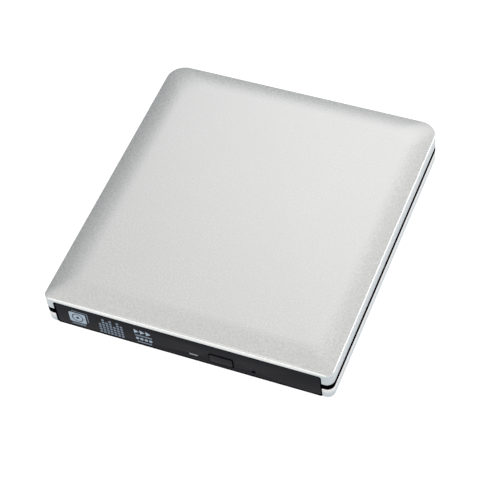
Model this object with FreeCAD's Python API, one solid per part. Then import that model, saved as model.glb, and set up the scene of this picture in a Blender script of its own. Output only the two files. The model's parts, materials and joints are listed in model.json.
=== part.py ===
"""External optical disc drive: a slim tray-loading drive inside a two-part metal shell.

Millimetres. X points right, Y to the back and Z up. The origin is the middle of the footprint, on the
surface that the feet stand on. The tray is closed, and slides out of the front along -Y.
The drive and the boards behind it are modelled about a Y origin of their own, and then set in the enclosure.
"""

import FreeCAD, Part
import os
from math import cos, radians, sin

V = FreeCAD.Vector
X_AXIS = V(1, 0, 0)
Y_AXIS = V(0, 1, 0)
Z_AXIS = V(0, 0, 1)
SIDES = (-1, 1)

# How far a cutting form passes the face that it cuts, and the play round a free and a tight fit
CUT = 1.0
FREE = 0.15
TIGHT = 0.05

# Screws: the head's radius, the shank's radius and the head's height
COVER_SCREW = (1.9, 0.95, 1.3)
DRIVE_SCREW = (1.8, 0.95, 0.85)
LID_SCREW = (1.5, 0.7, 0.5)
DAMPER_SCREW = (2.6, 0.75, 0.7)
BOARD_SCREW = (1.5, 0.75, 0.7)
BUTTON_BOARD_SCREW = (1.5, 0.75, 0.6)
BRIDGE_SCREW = (1.7, 0.75, 0.8)
TRIM_SCREW = (0.95, 0.5, 0.3)

# Enclosure
WIDTH = 140.0
DEPTH = 153.0
CORNER_R = 9.0
FRONT_CORNER_R = 3.6
WALL = 1.2
FOOT_H = 1.0
LOWER_TOP = 9.0
BAND_TOP = 12.6
SKIRT_TOP = 19.5
TOP = 21.3
CROWN_RUN = 14.0
CROWN_STEPS = 5
BOTTOM_EDGE_R = 3.0
BAND_INSET = 0.25
FRAME_GAP = 0.1
FRAME_T = 1.2
FRAME_BOTTOM = 6.5
FRAME_UPPER = 15.0
FLOOR = FOOT_H + WALL
FOOT_R = 5.0
FOOT_EDGE_R = 0.4
FOOT_RECESS = 0.6
POST_X = 59.0
POST_Y = DEPTH / 2 - 11.0
UPPER_POST_R = 2.6
LOWER_POST_R = 3.2
EAR_Z = 10.5
EAR_T = 1.0
EAR_REACH = 3.5
COVER_HEAD_Z = 1.9
COVER_TIP_Z = 16.5
FOAM_AT = 38.0
FOAM_HALF = 8.0

# The drive's own Y origin, in the enclosure: its face lies this far in front of that origin
FACE_REACH = 73.5
DRIVE_SHIFT = FACE_REACH - DEPTH / 2

# Front opening, bezel and what shows in it
OPENING_X = 65.0
OPENING_TOP = 17.3
OPENING_R = 2.0
MOUTH_DEPTH = 3.0
BEZEL_X = 64.6
BEZEL_BOTTOM = 2.55
BEZEL_TOP = 16.8
BEZEL_FRONT = -73.2
BEZEL_BACK = -69.0
BEZEL_FACE_T = 1.5
CLIP_X = (-52.0, 52.0)
CLIP_HALF = 3.0
CLIP_Y = (-67.3, -66.0)
CLIP_Z = (4.5, 5.7, 6.3)
BUTTON_X = 17.0
BUTTON_Z = 7.9
BUTTON_W = 11.0
BUTTON_H = 5.3
BUTTON_GAP = 0.3
BUTTON_PROUD = 0.3
LIGHT_X = 3.5
LIGHT_Z = 6.7
LIGHT_W = 4.2
LIGHT_H = 1.0
PINHOLE_X = 32.5
PINHOLE_Z = 6.3
PINHOLE_R = 0.6

# Drive case of sheet steel
DRIVE_X = 64.0
DRIVE_FRONT = -68.5
DRIVE_BACK = 58.5
DRIVE_BOTTOM = 2.7
DRIVE_TOP = 15.4
SHEET = 0.5
LID_FLANGE_Z = 8.2
PAN_X = DRIVE_X - SHEET - 0.05
PAN_BACK = DRIVE_BACK - SHEET - 0.05
PAN_TOP = DRIVE_TOP - SHEET - 0.1
PAN_FLOOR = DRIVE_BOTTOM + SHEET
DRIVE_SCREW_Y = (-40.0, 30.0)
DRIVE_SCREW_Z = 5.6
LID_SCREW_Y = (-52.0, 48.0)
LID_SCREW_Z = 11.0
LUG_X = (PAN_X + FRAME_GAP, PAN_X + FRAME_GAP + WALL)
LUG_HALF_Y = 4.0
LUG_TOP = LID_FLANGE_Z - 0.2
CONNECTOR_Z = (3.6, 9.4)
BEAD_DEPTH = 0.2

# Telescopic rails
GUIDE_X = (62.4, 62.9)
GUIDE_LIP_X = 61.0
GUIDE_Z = (7.3, 13.7)
GUIDE_T = 0.6
GUIDE_Y = (-67.5, 57.0)
RAIL_X = (60.3, 62.3)
RAIL_Z = (8.0, 13.0)
RAIL_Y = (-67.0, 45.0)
RAIL_CHANNEL_X = 61.5
RAIL_CHANNEL_Z = (9.15, 11.45)
TONGUE_X = 61.3
TONGUE_Z = (9.3, 11.3)

# Tray
TRAY_X = 60.0
TRAY_Y = (-69.0, 56.0)
TRAY_TOP = 14.1
WELL_Z = 10.5
DECK_Z = 9.0
SKIRT_Z = 3.5
TRAY_WALL = 1.5
SPINDLE_Y = -7.0
WELL_R = 60.6
SMALL_WELL_R = 40.3
SMALL_WELL_Z = 10.1
TRIM_Z = 9.5
PILOT_TOP = 9.8

# Traverse: the mechanism under the disc. U runs from the spindle outwards to the front left, V across it.
TRAVERSE_TURN = 225.0
PLATE_Z = (7.6, 8.4)
PLATE_U = (-16.0, 64.0)
PLATE_V = 17.5
DAMPERS_UV = ((-12.5, 14.0), (-12.5, -14.0), (50.0, 20.5), (50.0, -24.0))
DAMPER_BOTTOM = 6.6
DAMPER_R = 3.2
DAMPER_NECK_R = 1.9
DAMPER_POST_R = 1.25
ROD_V = 14.5
ROD_Z = 5.9
ROD_R = 1.0
ROD_U = (8.0, 63.2)
ROD_CLAMP_U = ((8.0, 10.0), (61.2, 63.2))
SCREW_V = -18.5
SCREW_R = 1.2
SCREW_U = (15.2, 55.6)
JOURNAL_R = 0.8
JOURNAL_U = (7.5, 57.4)
THREAD_DEPTH = 0.2
THREAD_STEP = 1.0
MOTOR_R = 11.2
CUP_R = 12.8
CUP_Z = (7.8, 9.8)
SHAFT_R = 1.0
TURNTABLE_R = 14.0
TURNTABLE_Z = (9.8, 11.2)
HUB_R = 7.4
HUB_Z = (11.2, 13.0)
HUB_TOP = 13.4
CLAW_ANGLES = (75.0, 195.0, 315.0)
LENS_U = 23.5
LENS_R = 2.2
SLED_Z = (4.2, 7.5)
SLED_NOTCH_R = 13.7

# Boards and latch on the tray
BOARD_X = (-56.0, 44.0)
BOARD_Y = (20.0, 46.0)
BOARD_Z = (6.0, 7.0)
BOARD_POSTS = ((-50.0, 23.0), (-38.0, 38.5), (36.0, 38.5), (40.0, 23.0))
BUTTON_BOARD_Z = (4.5, 5.5)
BUTTON_BOARD_POSTS = ((9.5, -64.0), (22.2, -64.0))
LATCH_X = 42.0
LATCH_Y = -50.0
LATCH_Z = (5.7, 7.3)
LATCH_TURN = 15.0
LATCH_HUB_R = 2.6
LATCH_PIVOT_R = 1.0
LATCH_BOSS_R = 2.2
CORE_Y = -57.5
CORE_Z = 6.5
CORE_R = 0.9
STRIKE_X = 50.0
STRIKE_Y = -61.0
STRIKE_R = 0.9
CABLE_X = (7.0, 23.0)
CABLE_Z = (4.8, 5.0)
SPRING_X = -46.0
SPRING_Z = 6.2
SPRING_R = 2.2
SPRING_WIRE = 0.5

# Boards at the back
BRIDGE_X = 30.0
BRIDGE_Y = (59.5, 76.7)
BRIDGE_Z = (8.2, 9.4)
BRIDGE_POST_X = 27.0
BRIDGE_POST_Y = 69.0
BRIDGE_POST_R = 2.4
BRIDGE_TIP_Z = 4.2
PLUG_X = (-21.5, -2.5)
PORT_X = 3.9
PORT_Z = (9.4, 12.0)
PORT_Y = (70.0, 78.6)


# ---------------------------------------------------------------- helpers

def box(x0, x1, y0, y1, z0, z1):
    return Part.makeBox(x1 - x0, y1 - y0, z1 - z0, V(x0, y0, z0))


def rod(start, end, radius):
    """A round bar from one point to another."""
    axis = end.sub(start)
    return Part.makeCylinder(radius, axis.Length, start, axis)


def post(x, y, z0, z1, radius):
    return rod(V(x, y, z0), V(x, y, z1), radius)


def tube(x, y, z0, z1, outer, inner):
    return post(x, y, z0, z1, outer).cut(post(x, y, z0, z1, inner))


def fused(shapes):
    """One solid from several that touch or overlap."""
    first, rest = shapes[0], shapes[1:]
    return first.fuse(rest).removeSplitter() if rest else first


def prism(points, z0, z1):
    """A flat outline, given as x, y pairs, raised from z0 to z1."""
    corners = [V(x, y, z0) for x, y in points]
    return Part.Face(Part.makePolygon(corners + corners[:1])).extrude(V(0, 0, z1 - z0))


def rounded_wire(half_x, half_y, radius, z, front_radius=None):
    """A rectangle with round corners, centred on the Z axis. The two corners at the front may be tighter."""
    front = front_radius or radius
    corners = ((1, 1, 0, radius), (-1, 1, 90, radius), (-1, -1, 180, front), (1, -1, 270, front))
    arcs = []
    for sx, sy, start, corner in corners:
        middle = V(sx * (half_x - corner), sy * (half_y - corner), z)
        arcs.append([middle.add(V(corner * cos(radians(start + turn)), corner * sin(radians(start + turn)), 0))
                     for turn in (0, 45, 90)])
    edges = []
    for points, following in zip(arcs, arcs[1:] + arcs[:1]):
        edges.append(Part.Arc(*points).toShape())
        edges.append(Part.makeLine(points[-1], following[0]))
    return Part.Wire(edges)


def slab(x0, x1, y0, y1, z0, z1, radius):
    """A plate with round vertical corners."""
    wire = rounded_wire((x1 - x0) / 2, (y1 - y0) / 2, radius, z0)
    plate = Part.Face(wire).extrude(V(0, 0, z1 - z0))
    return plate.translated(V((x0 + x1) / 2, (y0 + y1) / 2, 0))


def front_slab(x0, x1, z0, z1, y0, y1, radius):
    """A plate that faces the front, with round corners in that view."""
    return slab(x0, x1, z0, z1, -y1, -y0, radius).rotated(V(0, 0, 0), X_AXIS, 90)


def on_traverse(shape):
    """Turns a shape from the traverse's U, V, Z directions into the drive's own."""
    return shape.rotated(V(0, 0, 0), Z_AXIS, TRAVERSE_TURN).translated(V(0, SPINDLE_Y, 0))


def rim_edges(shape, z):
    """The edges that lie flat at one height."""
    return [e for e in shape.Edges if all(abs(v.Z - z) < 1e-6 for v in e.Vertexes)
            and abs(e.CenterOfMass.z - z) < 1e-6]


def screw(x, y, z_head, z_tip, head_r, shank_r, head_h):
    """A pan-head screw on a vertical axis, with a cross in its head. It points up if z_tip is higher."""
    way = 1 if z_tip > z_head else -1
    head = rod(V(x, y, z_head), V(x, y, z_head + way * head_h), head_r)
    shank = rod(V(x, y, z_head + way * head_h), V(x, y, z_tip), shank_r)
    depth = head_h * 0.5
    low = min(z_head, z_head + way * depth)
    cross = [box(x - head_r * 0.55, x + head_r * 0.55, y - 0.15, y + 0.15, low, low + depth),
             box(x - 0.15, x + 0.15, y - head_r * 0.55, y + head_r * 0.55, low, low + depth)]
    return head.fuse(shank).removeSplitter().cut(cross)


def hole_r(size, play):
    """The radius of a hole for a screw of this size."""
    return size[1] + play


def side_screw(side, y, z, x_head, x_tip, head_r, shank_r, head_h):
    """The same screw, driven inwards from the left or the right."""
    upright = screw(0, 0, -x_head, -x_tip, head_r, shank_r, head_h)
    return upright.rotated(V(0, 0, 0), Y_AXIS, -90 * side).translated(V(0, y, z))


# ---------------------------------------------------------------- enclosure

def shell_wire(inset, run, z):
    """The shells' outline, moved in by inset as a wall would be, then shrunk by run with its corners unchanged."""
    away = inset + run
    return rounded_wire(WIDTH / 2 - away, DEPTH / 2 - away, CORNER_R - inset, z, FRONT_CORNER_R - inset)


def upper_form(inset, drop, base):
    """The upper shell's outer form, shrunk by inset at the sides and lowered by drop at the top."""
    rings = []
    for i in range(CROWN_STEPS + 1):
        share = i / CROWN_STEPS
        rise = (TOP - SKIRT_TOP) * (1 - (1 - share) ** 2)
        rings.append(shell_wire(inset, CROWN_RUN * share, SKIRT_TOP - drop + rise))
    skirt = Part.Face(shell_wire(inset, 0, base))
    return skirt.extrude(V(0, 0, SKIRT_TOP - drop - base)).fuse(Part.makeLoft(rings, True, True))


def lower_form(inset, bottom, top):
    """The lower shell's outer form, with its bottom edge rounded."""
    form = Part.Face(shell_wire(inset, 0, bottom)).extrude(V(0, 0, top - bottom))
    return form.makeFillet(BOTTOM_EDGE_R - inset, rim_edges(form, bottom))


def port_notch():
    """The room that a plug's sleeve needs in both shells."""
    return box(-PORT_X - 2, PORT_X + 2, DEPTH / 2 - 2, DEPTH / 2 + CUT, PORT_Z[0] - 1, PORT_Z[1] + 1)


def front_opening(depth):
    """The mouth that the bezel fills, this deep from the front."""
    return front_slab(-OPENING_X, OPENING_X, FLOOR, OPENING_TOP, -DEPTH / 2 - CUT, -DEPTH / 2 + depth, OPENING_R)


def top_cover():
    shell = upper_form(0, 0, BAND_TOP).cut(upper_form(WALL, WALL, BAND_TOP - CUT))
    base = EAR_Z + EAR_T
    posts = [post(s * POST_X, POST_Y, base, TOP - WALL / 2, UPPER_POST_R) for s in SIDES]
    pilots = [post(s * POST_X, POST_Y, base - CUT, COVER_TIP_Z + 1, hole_r(COVER_SCREW, TIGHT)) for s in SIDES]
    return shell.cut([front_opening(MOUTH_DEPTH), port_notch()]).fuse(posts).cut(pilots)


def bottom_cover():
    """The lower shell, with posts for the screws and lugs that the drive is screwed to."""
    inner = lower_form(WALL, FLOOR, LOWER_TOP + CUT)
    shell = lower_form(0, FOOT_H, LOWER_TOP).cut([inner, front_opening(MOUTH_DEPTH), port_notch()])
    mouth = box(-OPENING_X, OPENING_X, -DEPTH / 2 - CUT, -DEPTH / 2 + MOUTH_DEPTH, FLOOR, LOWER_TOP + CUT)
    screw_y = [y + DRIVE_SHIFT for y in DRIVE_SCREW_Y]
    bridge_y = BRIDGE_POST_Y + DRIVE_SHIFT
    head_bottom = COVER_HEAD_Z + COVER_SCREW[2]
    added = []
    removed = [mouth]
    for s in SIDES:
        added.append(post(s * POST_X, POST_Y, FLOOR, EAR_Z, LOWER_POST_R))
        removed.append(post(s * POST_X, POST_Y, FOOT_H, head_bottom, COVER_SCREW[0] + FREE))
        removed.append(post(s * POST_X, POST_Y, head_bottom, EAR_Z, hole_r(COVER_SCREW, FREE)))
        added.append(post(s * BRIDGE_POST_X, bridge_y, FLOOR, BRIDGE_Z[0], BRIDGE_POST_R))
        bridge_pilot = hole_r(BRIDGE_SCREW, TIGHT)
        removed.append(post(s * BRIDGE_POST_X, bridge_y, BRIDGE_TIP_Z - 0.5, BRIDGE_Z[0], bridge_pilot))
        for y in (-POST_Y, POST_Y):
            removed.append(post(s * POST_X, y, FOOT_H - CUT, FOOT_H + FOOT_RECESS, FOOT_R + FRAME_GAP))
        low, high = sorted((s * LUG_X[0], s * LUG_X[1]))
        for y in screw_y:
            added.append(box(low, high, y - LUG_HALF_Y, y + LUG_HALF_Y, FLOOR, LUG_TOP))
            hole = rod(V(low - CUT, y, DRIVE_SCREW_Z), V(high + 0.2, y, DRIVE_SCREW_Z), hole_r(DRIVE_SCREW, FREE))
            removed.append(hole)
    return shell.fuse(added).cut(removed)


def mid_frame():
    """The black ring between the shells: a band that shows, and a flange that locates both of them."""
    def ring(outer, inner, z0, z1):
        forms = [Part.Face(shell_wire(inset, 0, z0)).extrude(V(0, 0, z1 - z0)) for inset in (outer, inner)]
        return forms[0].cut(forms[1])

    flange_outer = WALL + FRAME_GAP
    flange = ring(flange_outer, flange_outer + FRAME_T, FRAME_BOTTOM, FRAME_UPPER)
    band = ring(BAND_INSET, flange_outer + FRAME_T, LOWER_TOP + TIGHT, BAND_TOP - TIGHT)
    ears = []
    for s in SIDES:
        low, high = sorted((s * (POST_X - EAR_REACH), s * (WIDTH / 2 - flange_outer - 0.5)))
        ears.append(box(low, high, POST_Y - LOWER_POST_R, DEPTH / 2 - flange_outer - FRAME_T + 0.5,
                        EAR_Z, EAR_Z + EAR_T))
    inside = Part.Face(shell_wire(2, 0, EAR_Z)).extrude(V(0, 0, EAR_T))
    frame = flange.fuse(band).fuse([ear.common(inside) for ear in ears])
    hole_top = EAR_Z + EAR_T + CUT
    holes = [post(s * POST_X, POST_Y, EAR_Z - CUT, hole_top, hole_r(COVER_SCREW, FREE)) for s in SIDES]
    mouth = box(-OPENING_X - 0.3, OPENING_X + 0.3, -DEPTH / 2, -DEPTH / 2 + 2 * CORNER_R, 0, TOP)
    port = box(-PORT_X - 0.2, PORT_X + 0.2, DEPTH / 2 - 2 * CORNER_R, DEPTH / 2, PORT_Z[0] - 0.1, PORT_Z[1] + 0.1)
    return frame.cut(holes + [mouth, port])


def rubber_feet():
    feet = []
    for sx in SIDES:
        for sy in SIDES:
            foot = post(sx * POST_X, sy * POST_Y, 0, FOOT_H + FOOT_RECESS, FOOT_R)
            feet.append(foot.makeFillet(FOOT_EDGE_R, rim_edges(foot, 0)))
    return Part.makeCompound(feet)


def cover_screws():
    return Part.makeCompound([screw(s * POST_X, POST_Y, COVER_HEAD_Z, COVER_TIP_Z, *COVER_SCREW) for s in SIDES])


def foam_pads():
    pads = []
    for sx in SIDES:
        for sy in SIDES:
            x, y = sx * FOAM_AT, sy * FOAM_AT
            pads.append(box(x - FOAM_HALF, x + FOAM_HALF, y - FOAM_HALF, y + FOAM_HALF, DRIVE_TOP, TOP - WALL))
    return Part.makeCompound(pads)


# ---------------------------------------------------------------- drive case

def connector_window():
    """The gap in the drive's back wall where the bridge board plugs in."""
    return box(PLUG_X[0] - 1.5, PLUG_X[1] + 1.5, PAN_BACK - 2, DRIVE_BACK + CUT, *CONNECTOR_Z)


def side_holes(heights, radius):
    """Round holes through both side walls, at each y and z."""
    return [rod(V(s * (DRIVE_X - 2), y, z), V(s * (DRIVE_X + CUT), y, z), radius) for s in SIDES for y, z in heights]


def drive_lid():
    outer = box(-DRIVE_X, DRIVE_X, DRIVE_FRONT, DRIVE_BACK, LID_FLANGE_Z, DRIVE_TOP)
    inner = box(-DRIVE_X + SHEET, DRIVE_X - SHEET, DRIVE_FRONT - 1, DRIVE_BACK - SHEET,
                LID_FLANGE_Z - 1, DRIVE_TOP - SHEET)
    sunk = DRIVE_TOP - BEAD_DEPTH
    bead = tube(0, SPINDLE_Y, sunk, DRIVE_TOP + CUT, 24, 22)
    ribs = [slab(x - 1.5, x + 1.5, -50, 44, sunk, DRIVE_TOP + CUT, 1.4) for x in (-56, 56)]
    holes = side_holes([(y, LID_SCREW_Z) for y in LID_SCREW_Y], hole_r(LID_SCREW, TIGHT))
    return outer.cut([inner, bead, connector_window()] + ribs + holes)


def drive_pan():
    outer = box(-PAN_X, PAN_X, DRIVE_FRONT + 0.2, PAN_BACK, DRIVE_BOTTOM, PAN_TOP)
    inner = box(-PAN_X + SHEET, PAN_X - SHEET, DRIVE_FRONT - 1, PAN_BACK - SHEET, PAN_FLOOR, PAN_TOP + 1)
    sunk = DRIVE_BOTTOM + BEAD_DEPTH
    beads = [slab(x - 2, x + 2, -44, 30, DRIVE_BOTTOM - CUT, sunk, 1.9) for x in (-30, 0, 30)]
    holes = side_holes([(y, LID_SCREW_Z) for y in LID_SCREW_Y], hole_r(LID_SCREW, TIGHT))
    holes += side_holes([(y, DRIVE_SCREW_Z) for y in DRIVE_SCREW_Y], hole_r(DRIVE_SCREW, TIGHT))
    holes.append(post(STRIKE_X, STRIKE_Y, DRIVE_BOTTOM - CUT, PAN_FLOOR + CUT, STRIKE_R))
    return outer.cut([inner, connector_window()] + beads + holes)


def drive_screws():
    head_x = LUG_X[1] + DRIVE_SCREW[2]
    screws = [side_screw(s, y, DRIVE_SCREW_Z, head_x, PAN_X - SHEET + TIGHT, *DRIVE_SCREW)
              for s in SIDES for y in DRIVE_SCREW_Y]
    return Part.makeCompound(screws)


def lid_screws():
    head_x = DRIVE_X + LID_SCREW[2]
    screws = [side_screw(s, y, LID_SCREW_Z, head_x, PAN_X - SHEET, *LID_SCREW) for s in SIDES for y in LID_SCREW_Y]
    return Part.makeCompound(screws)


def strike_pin():
    return fused([post(STRIKE_X, STRIKE_Y, DRIVE_BOTTOM + 0.1, LATCH_Z[1] + 0.2, STRIKE_R),
                  post(STRIKE_X, STRIKE_Y, PAN_FLOOR, PAN_FLOOR + 0.5, 2 * STRIKE_R)])


def eject_spring():
    """The outer form of the coil that pushes the tray out once the latch lets go."""
    start = V(SPRING_X, 49.0, SPRING_Z)
    end = V(SPRING_X, PAN_BACK - SHEET - TIGHT, SPRING_Z)
    return rod(start, end, SPRING_R).cut(rod(start, end, SPRING_R - SPRING_WIRE))


def guide_rail(side):
    """A fixed C rail on the pan's side wall."""
    web = box(GUIDE_X[0], GUIDE_X[1], GUIDE_Y[0], GUIDE_Y[1], GUIDE_Z[0], GUIDE_Z[1])
    lips = [box(GUIDE_LIP_X, GUIDE_X[0], GUIDE_Y[0], GUIDE_Y[1], z, z + GUIDE_T)
            for z in (GUIDE_Z[0], GUIDE_Z[1] - GUIDE_T)]
    rail = fused([web] + lips)
    return rail if side > 0 else rail.mirror(V(0, 0, 0), X_AXIS)


def mid_rail(side):
    """The sliding middle rail between the fixed rail and the tray's tongue."""
    bar = box(RAIL_X[0], RAIL_X[1], RAIL_Y[0], RAIL_Y[1], RAIL_Z[0], RAIL_Z[1])
    channel = box(RAIL_X[0] - 1, RAIL_CHANNEL_X, RAIL_Y[0] - 1, RAIL_Y[1] + 1, RAIL_CHANNEL_Z[0], RAIL_CHANNEL_Z[1])
    slots = [box(RAIL_CHANNEL_X - 0.1, RAIL_X[1] + 1, y, y + 9, 9.6, 11.0) for y in (-56, -20, 16)]
    rail = bar.cut([channel] + slots)
    return rail if side > 0 else rail.mirror(V(0, 0, 0), X_AXIS)


# ---------------------------------------------------------------- boards at the back

def socket_board():
    return box(-26, 24, 50, PAN_BACK - SHEET - 0.1, PAN_FLOOR, PAN_FLOOR + 1)


def drive_socket():
    body = box(PLUG_X[0] - 0.5, PLUG_X[1] + 0.5, 51, DRIVE_BACK - 0.1, PAN_FLOOR + 1, 8.4)
    slot = box(PLUG_X[0] + 1, PLUG_X[1] - 1, 53, DRIVE_BACK + 1, 5.7, 7.3)
    return body.cut(slot)


def rear_flex_connector():
    return box(CABLE_X[0] - 1, CABLE_X[1] + 1, 50.5, 54.5, PAN_FLOOR + 1, PAN_FLOOR + 2.6)


def bridge_board():
    board = slab(-BRIDGE_X, BRIDGE_X, BRIDGE_Y[0], BRIDGE_Y[1], BRIDGE_Z[0], BRIDGE_Z[1], 1)
    z0, z1 = BRIDGE_Z[0] - CUT, BRIDGE_Z[1] + CUT
    return board.cut([post(s * BRIDGE_POST_X, BRIDGE_POST_Y, z0, z1, hole_r(BRIDGE_SCREW, FREE)) for s in SIDES])


def bridge_plug():
    body = box(PLUG_X[0], PLUG_X[1], DRIVE_BACK + 0.1, 63.5, 4.4, BRIDGE_Z[0])
    tongue = box(PLUG_X[0] + 1.4, PLUG_X[1] - 1.4, 54.5, DRIVE_BACK + 0.1, 6.0, 7.0)
    return fused([body, tongue])


def bridge_chips():
    top = BRIDGE_Z[1]
    chips = [box(8.5, 15.5, 61.5, 68.5, top, top + 0.9),
             slab(17.6, 20.8, 63, 65.5, top, top + 0.8, 0.4),
             box(-14, -10, 62, 66, top, top + 1.8)]
    chips += [box(x, x + 1.6, 68, 68.8, top, top + 0.6) for x in (-20, -17, -14, -11, -8)]
    return Part.makeCompound(chips)


def bridge_screws():
    head_top = BRIDGE_Z[1] + BRIDGE_SCREW[2]
    screws = [screw(s * BRIDGE_POST_X, BRIDGE_POST_Y, head_top, BRIDGE_TIP_Z, *BRIDGE_SCREW) for s in SIDES]
    return Part.makeCompound(screws)


def port_shell():
    """The metal sleeve of the data and power inlet, narrower below."""
    def form(inset, y0, y1):
        outline = [(-PORT_X + inset, PORT_Z[1] - inset), (-PORT_X + inset, 10.6),
                   (-PORT_X + 0.9 + inset * 0.5, PORT_Z[0] + inset), (PORT_X - 0.9 - inset * 0.5, PORT_Z[0] + inset),
                   (PORT_X - inset, 10.6), (PORT_X - inset, PORT_Z[1] - inset)]
        return prism(outline, -y1, -y0).rotated(V(0, 0, 0), X_AXIS, 90)

    return form(0, PORT_Y[0], PORT_Y[1]).cut(form(0.3, PORT_Y[0] + 0.3, PORT_Y[1] + 1))


def port_tongue():
    root = PORT_Y[0] + 2.0
    base = box(-3.0, 3.0, PORT_Y[0] + 0.3, root, 10.2, 11.5)
    blade = box(-2.4, 2.4, root, PORT_Y[1] - 1.0, 10.5, 11.1)
    return fused([base, blade])


# ---------------------------------------------------------------- tray

def trim_outline(radius, reach, half_v, z0, z1):
    """The opening in the tray's floor: round at the spindle, with a slot out to the lens's last place."""
    shape = fused([post(0, 0, z0, z1, radius), box(0, 70, -half_v, half_v, z0, z1)])
    return shape.common(post(0, 0, z0 - 1, z1 + 1, reach))


def traverse_point(u, v):
    """A point of the traverse in the drive's X and Y."""
    place = on_traverse(Part.Vertex(u, v, 0)).Point
    return place.x, place.y


def tray():
    deck = slab(-TRAY_X, TRAY_X, TRAY_Y[0], TRAY_Y[1], DECK_Z, TRAY_TOP, 1.0)
    front = box(-TRAY_X, TRAY_X, TRAY_Y[0], TRAY_Y[0] + TRAY_WALL, SKIRT_Z, DECK_Z)
    walls = [front]
    for s in SIDES:
        low, high = sorted((s * TRAY_X, s * (TRAY_X - TRAY_WALL)))
        walls.append(box(low, high, TRAY_Y[0], TRAY_Y[1], SKIRT_Z, DECK_Z))
        low, high = sorted((s * TONGUE_X, s * (TRAY_X - 1)))
        walls.append(box(low, high, TRAY_Y[0] + 1, TRAY_Y[1], *TONGUE_Z))
    body = deck.fuse(walls)

    well = post(0, SPINDLE_Y, WELL_Z, TRAY_TOP + 1, WELL_R)
    small_well = post(0, SPINDLE_Y, SMALL_WELL_Z, WELL_Z + 1, SMALL_WELL_R)
    ledge = on_traverse(trim_outline(17.5, 59.2, 13.5, DECK_Z - 1, TRIM_Z + 0.1))
    pocket = on_traverse(trim_outline(19.5, 60.4, 15.5, TRIM_Z, WELL_Z + 1))
    inside = box(-TRAY_X + TRAY_WALL, TRAY_X - TRAY_WALL, TRAY_Y[0] + TRAY_WALL, TRAY_Y[1] - TRAY_WALL,
                 DECK_Z - 1, TRAY_TOP - TRAY_WALL)
    corners = inside.cut(post(0, SPINDLE_Y, 0, TOP, WELL_R + TRAY_WALL))
    body = body.cut([well, small_well, ledge, pocket, corners])
    return body.fuse(tray_posts()).cut(tray_holes())


def damper_points():
    return [traverse_point(u, v) for u, v in DAMPERS_UV]


def tray_posts():
    posts = [post(x, y, DAMPER_BOTTOM, DECK_Z, DAMPER_POST_R) for x, y in damper_points()]
    posts += [post(x, y, BOARD_Z[1], DECK_Z + 0.5, 1.8) for x, y in BOARD_POSTS]
    posts += [post(x, y, BUTTON_BOARD_Z[1], DECK_Z + 0.5, 1.6) for x, y in BUTTON_BOARD_POSTS]
    posts.append(box(SPRING_X - 3, SPRING_X + 3, 47.5, 48.9, 3.8, TRAY_TOP - TRAY_WALL + 0.1))
    posts.append(post(LATCH_X, LATCH_Y, LATCH_Z[0] - 0.3, DECK_Z, LATCH_PIVOT_R))
    posts.append(post(LATCH_X, LATCH_Y, LATCH_Z[1] + 0.1, DECK_Z, LATCH_BOSS_R))
    return posts


def tray_holes():
    y0, y1 = TRAY_Y[0] - 1, TRAY_Y[0] + TRAY_WALL + 1
    pilot = hole_r(BOARD_SCREW, TIGHT)
    holes = [post(x, y, SKIRT_Z, DECK_Z + 0.3, pilot) for x, y in damper_points()]
    holes += [post(x, y, SKIRT_Z, PILOT_TOP, pilot) for x, y in BOARD_POSTS + BUTTON_BOARD_POSTS]
    holes.append(box(BUTTON_X - 2.6, BUTTON_X + 2.6, y0, y1, 6.0, 8.7))
    holes.append(box(LIGHT_X - 1.8, LIGHT_X + 1.8, y0, y1, 5.9, 7.5))
    holes.append(rod(V(PINHOLE_X, y0, PINHOLE_Z), V(PINHOLE_X, y1, PINHOLE_Z), 1.2))
    clip_room = CLIP_HALF + 0.2
    holes += [box(x - clip_room, x + clip_room, y0, y1, CLIP_Z[0] - 0.3, CLIP_Z[2] + 0.2) for x in CLIP_X]
    trim_hole = hole_r(TRIM_SCREW, TIGHT)
    holes += [on_traverse(post(u, v, DECK_Z - 0.5, SMALL_WELL_Z, trim_hole)) for u, v in trim_screw_points()]
    return holes


def front_bezel():
    face = front_slab(-BEZEL_X, BEZEL_X, BEZEL_BOTTOM, BEZEL_TOP, BEZEL_FRONT, BEZEL_BACK, OPENING_R - 0.35)
    hollow = box(-BEZEL_X + 1.2, BEZEL_X - 1.2, BEZEL_FRONT + BEZEL_FACE_T, BEZEL_BACK + 1,
                 BEZEL_BOTTOM + 1.2, BEZEL_TOP - 1.2)
    clips = []
    for x in CLIP_X:
        arm = box(x - CLIP_HALF, x + CLIP_HALF, BEZEL_FRONT + 1, CLIP_Y[1], *CLIP_Z[:2])
        barb = box(x - CLIP_HALF, x + CLIP_HALF, CLIP_Y[0], CLIP_Y[1], *CLIP_Z[1:])
        clips.append(fused([arm, barb]))
    half_w, half_h = BUTTON_W / 2 + BUTTON_GAP, BUTTON_H / 2 + BUTTON_GAP
    y0, y1 = BEZEL_FRONT - CUT, BEZEL_FRONT + BEZEL_FACE_T + CUT
    window = front_slab(BUTTON_X - half_w, BUTTON_X + half_w, BUTTON_Z - half_h, BUTTON_Z + half_h, y0, y1, 0.8)
    light = front_slab(LIGHT_X - LIGHT_W / 2, LIGHT_X + LIGHT_W / 2, LIGHT_Z - LIGHT_H / 2,
                       LIGHT_Z + LIGHT_H / 2, y0, y1, 0.3)
    pinhole = rod(V(PINHOLE_X, y0, PINHOLE_Z), V(PINHOLE_X, y1, PINHOLE_Z), PINHOLE_R)
    return face.cut([hollow, window, light, pinhole]).fuse(clips)


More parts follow.
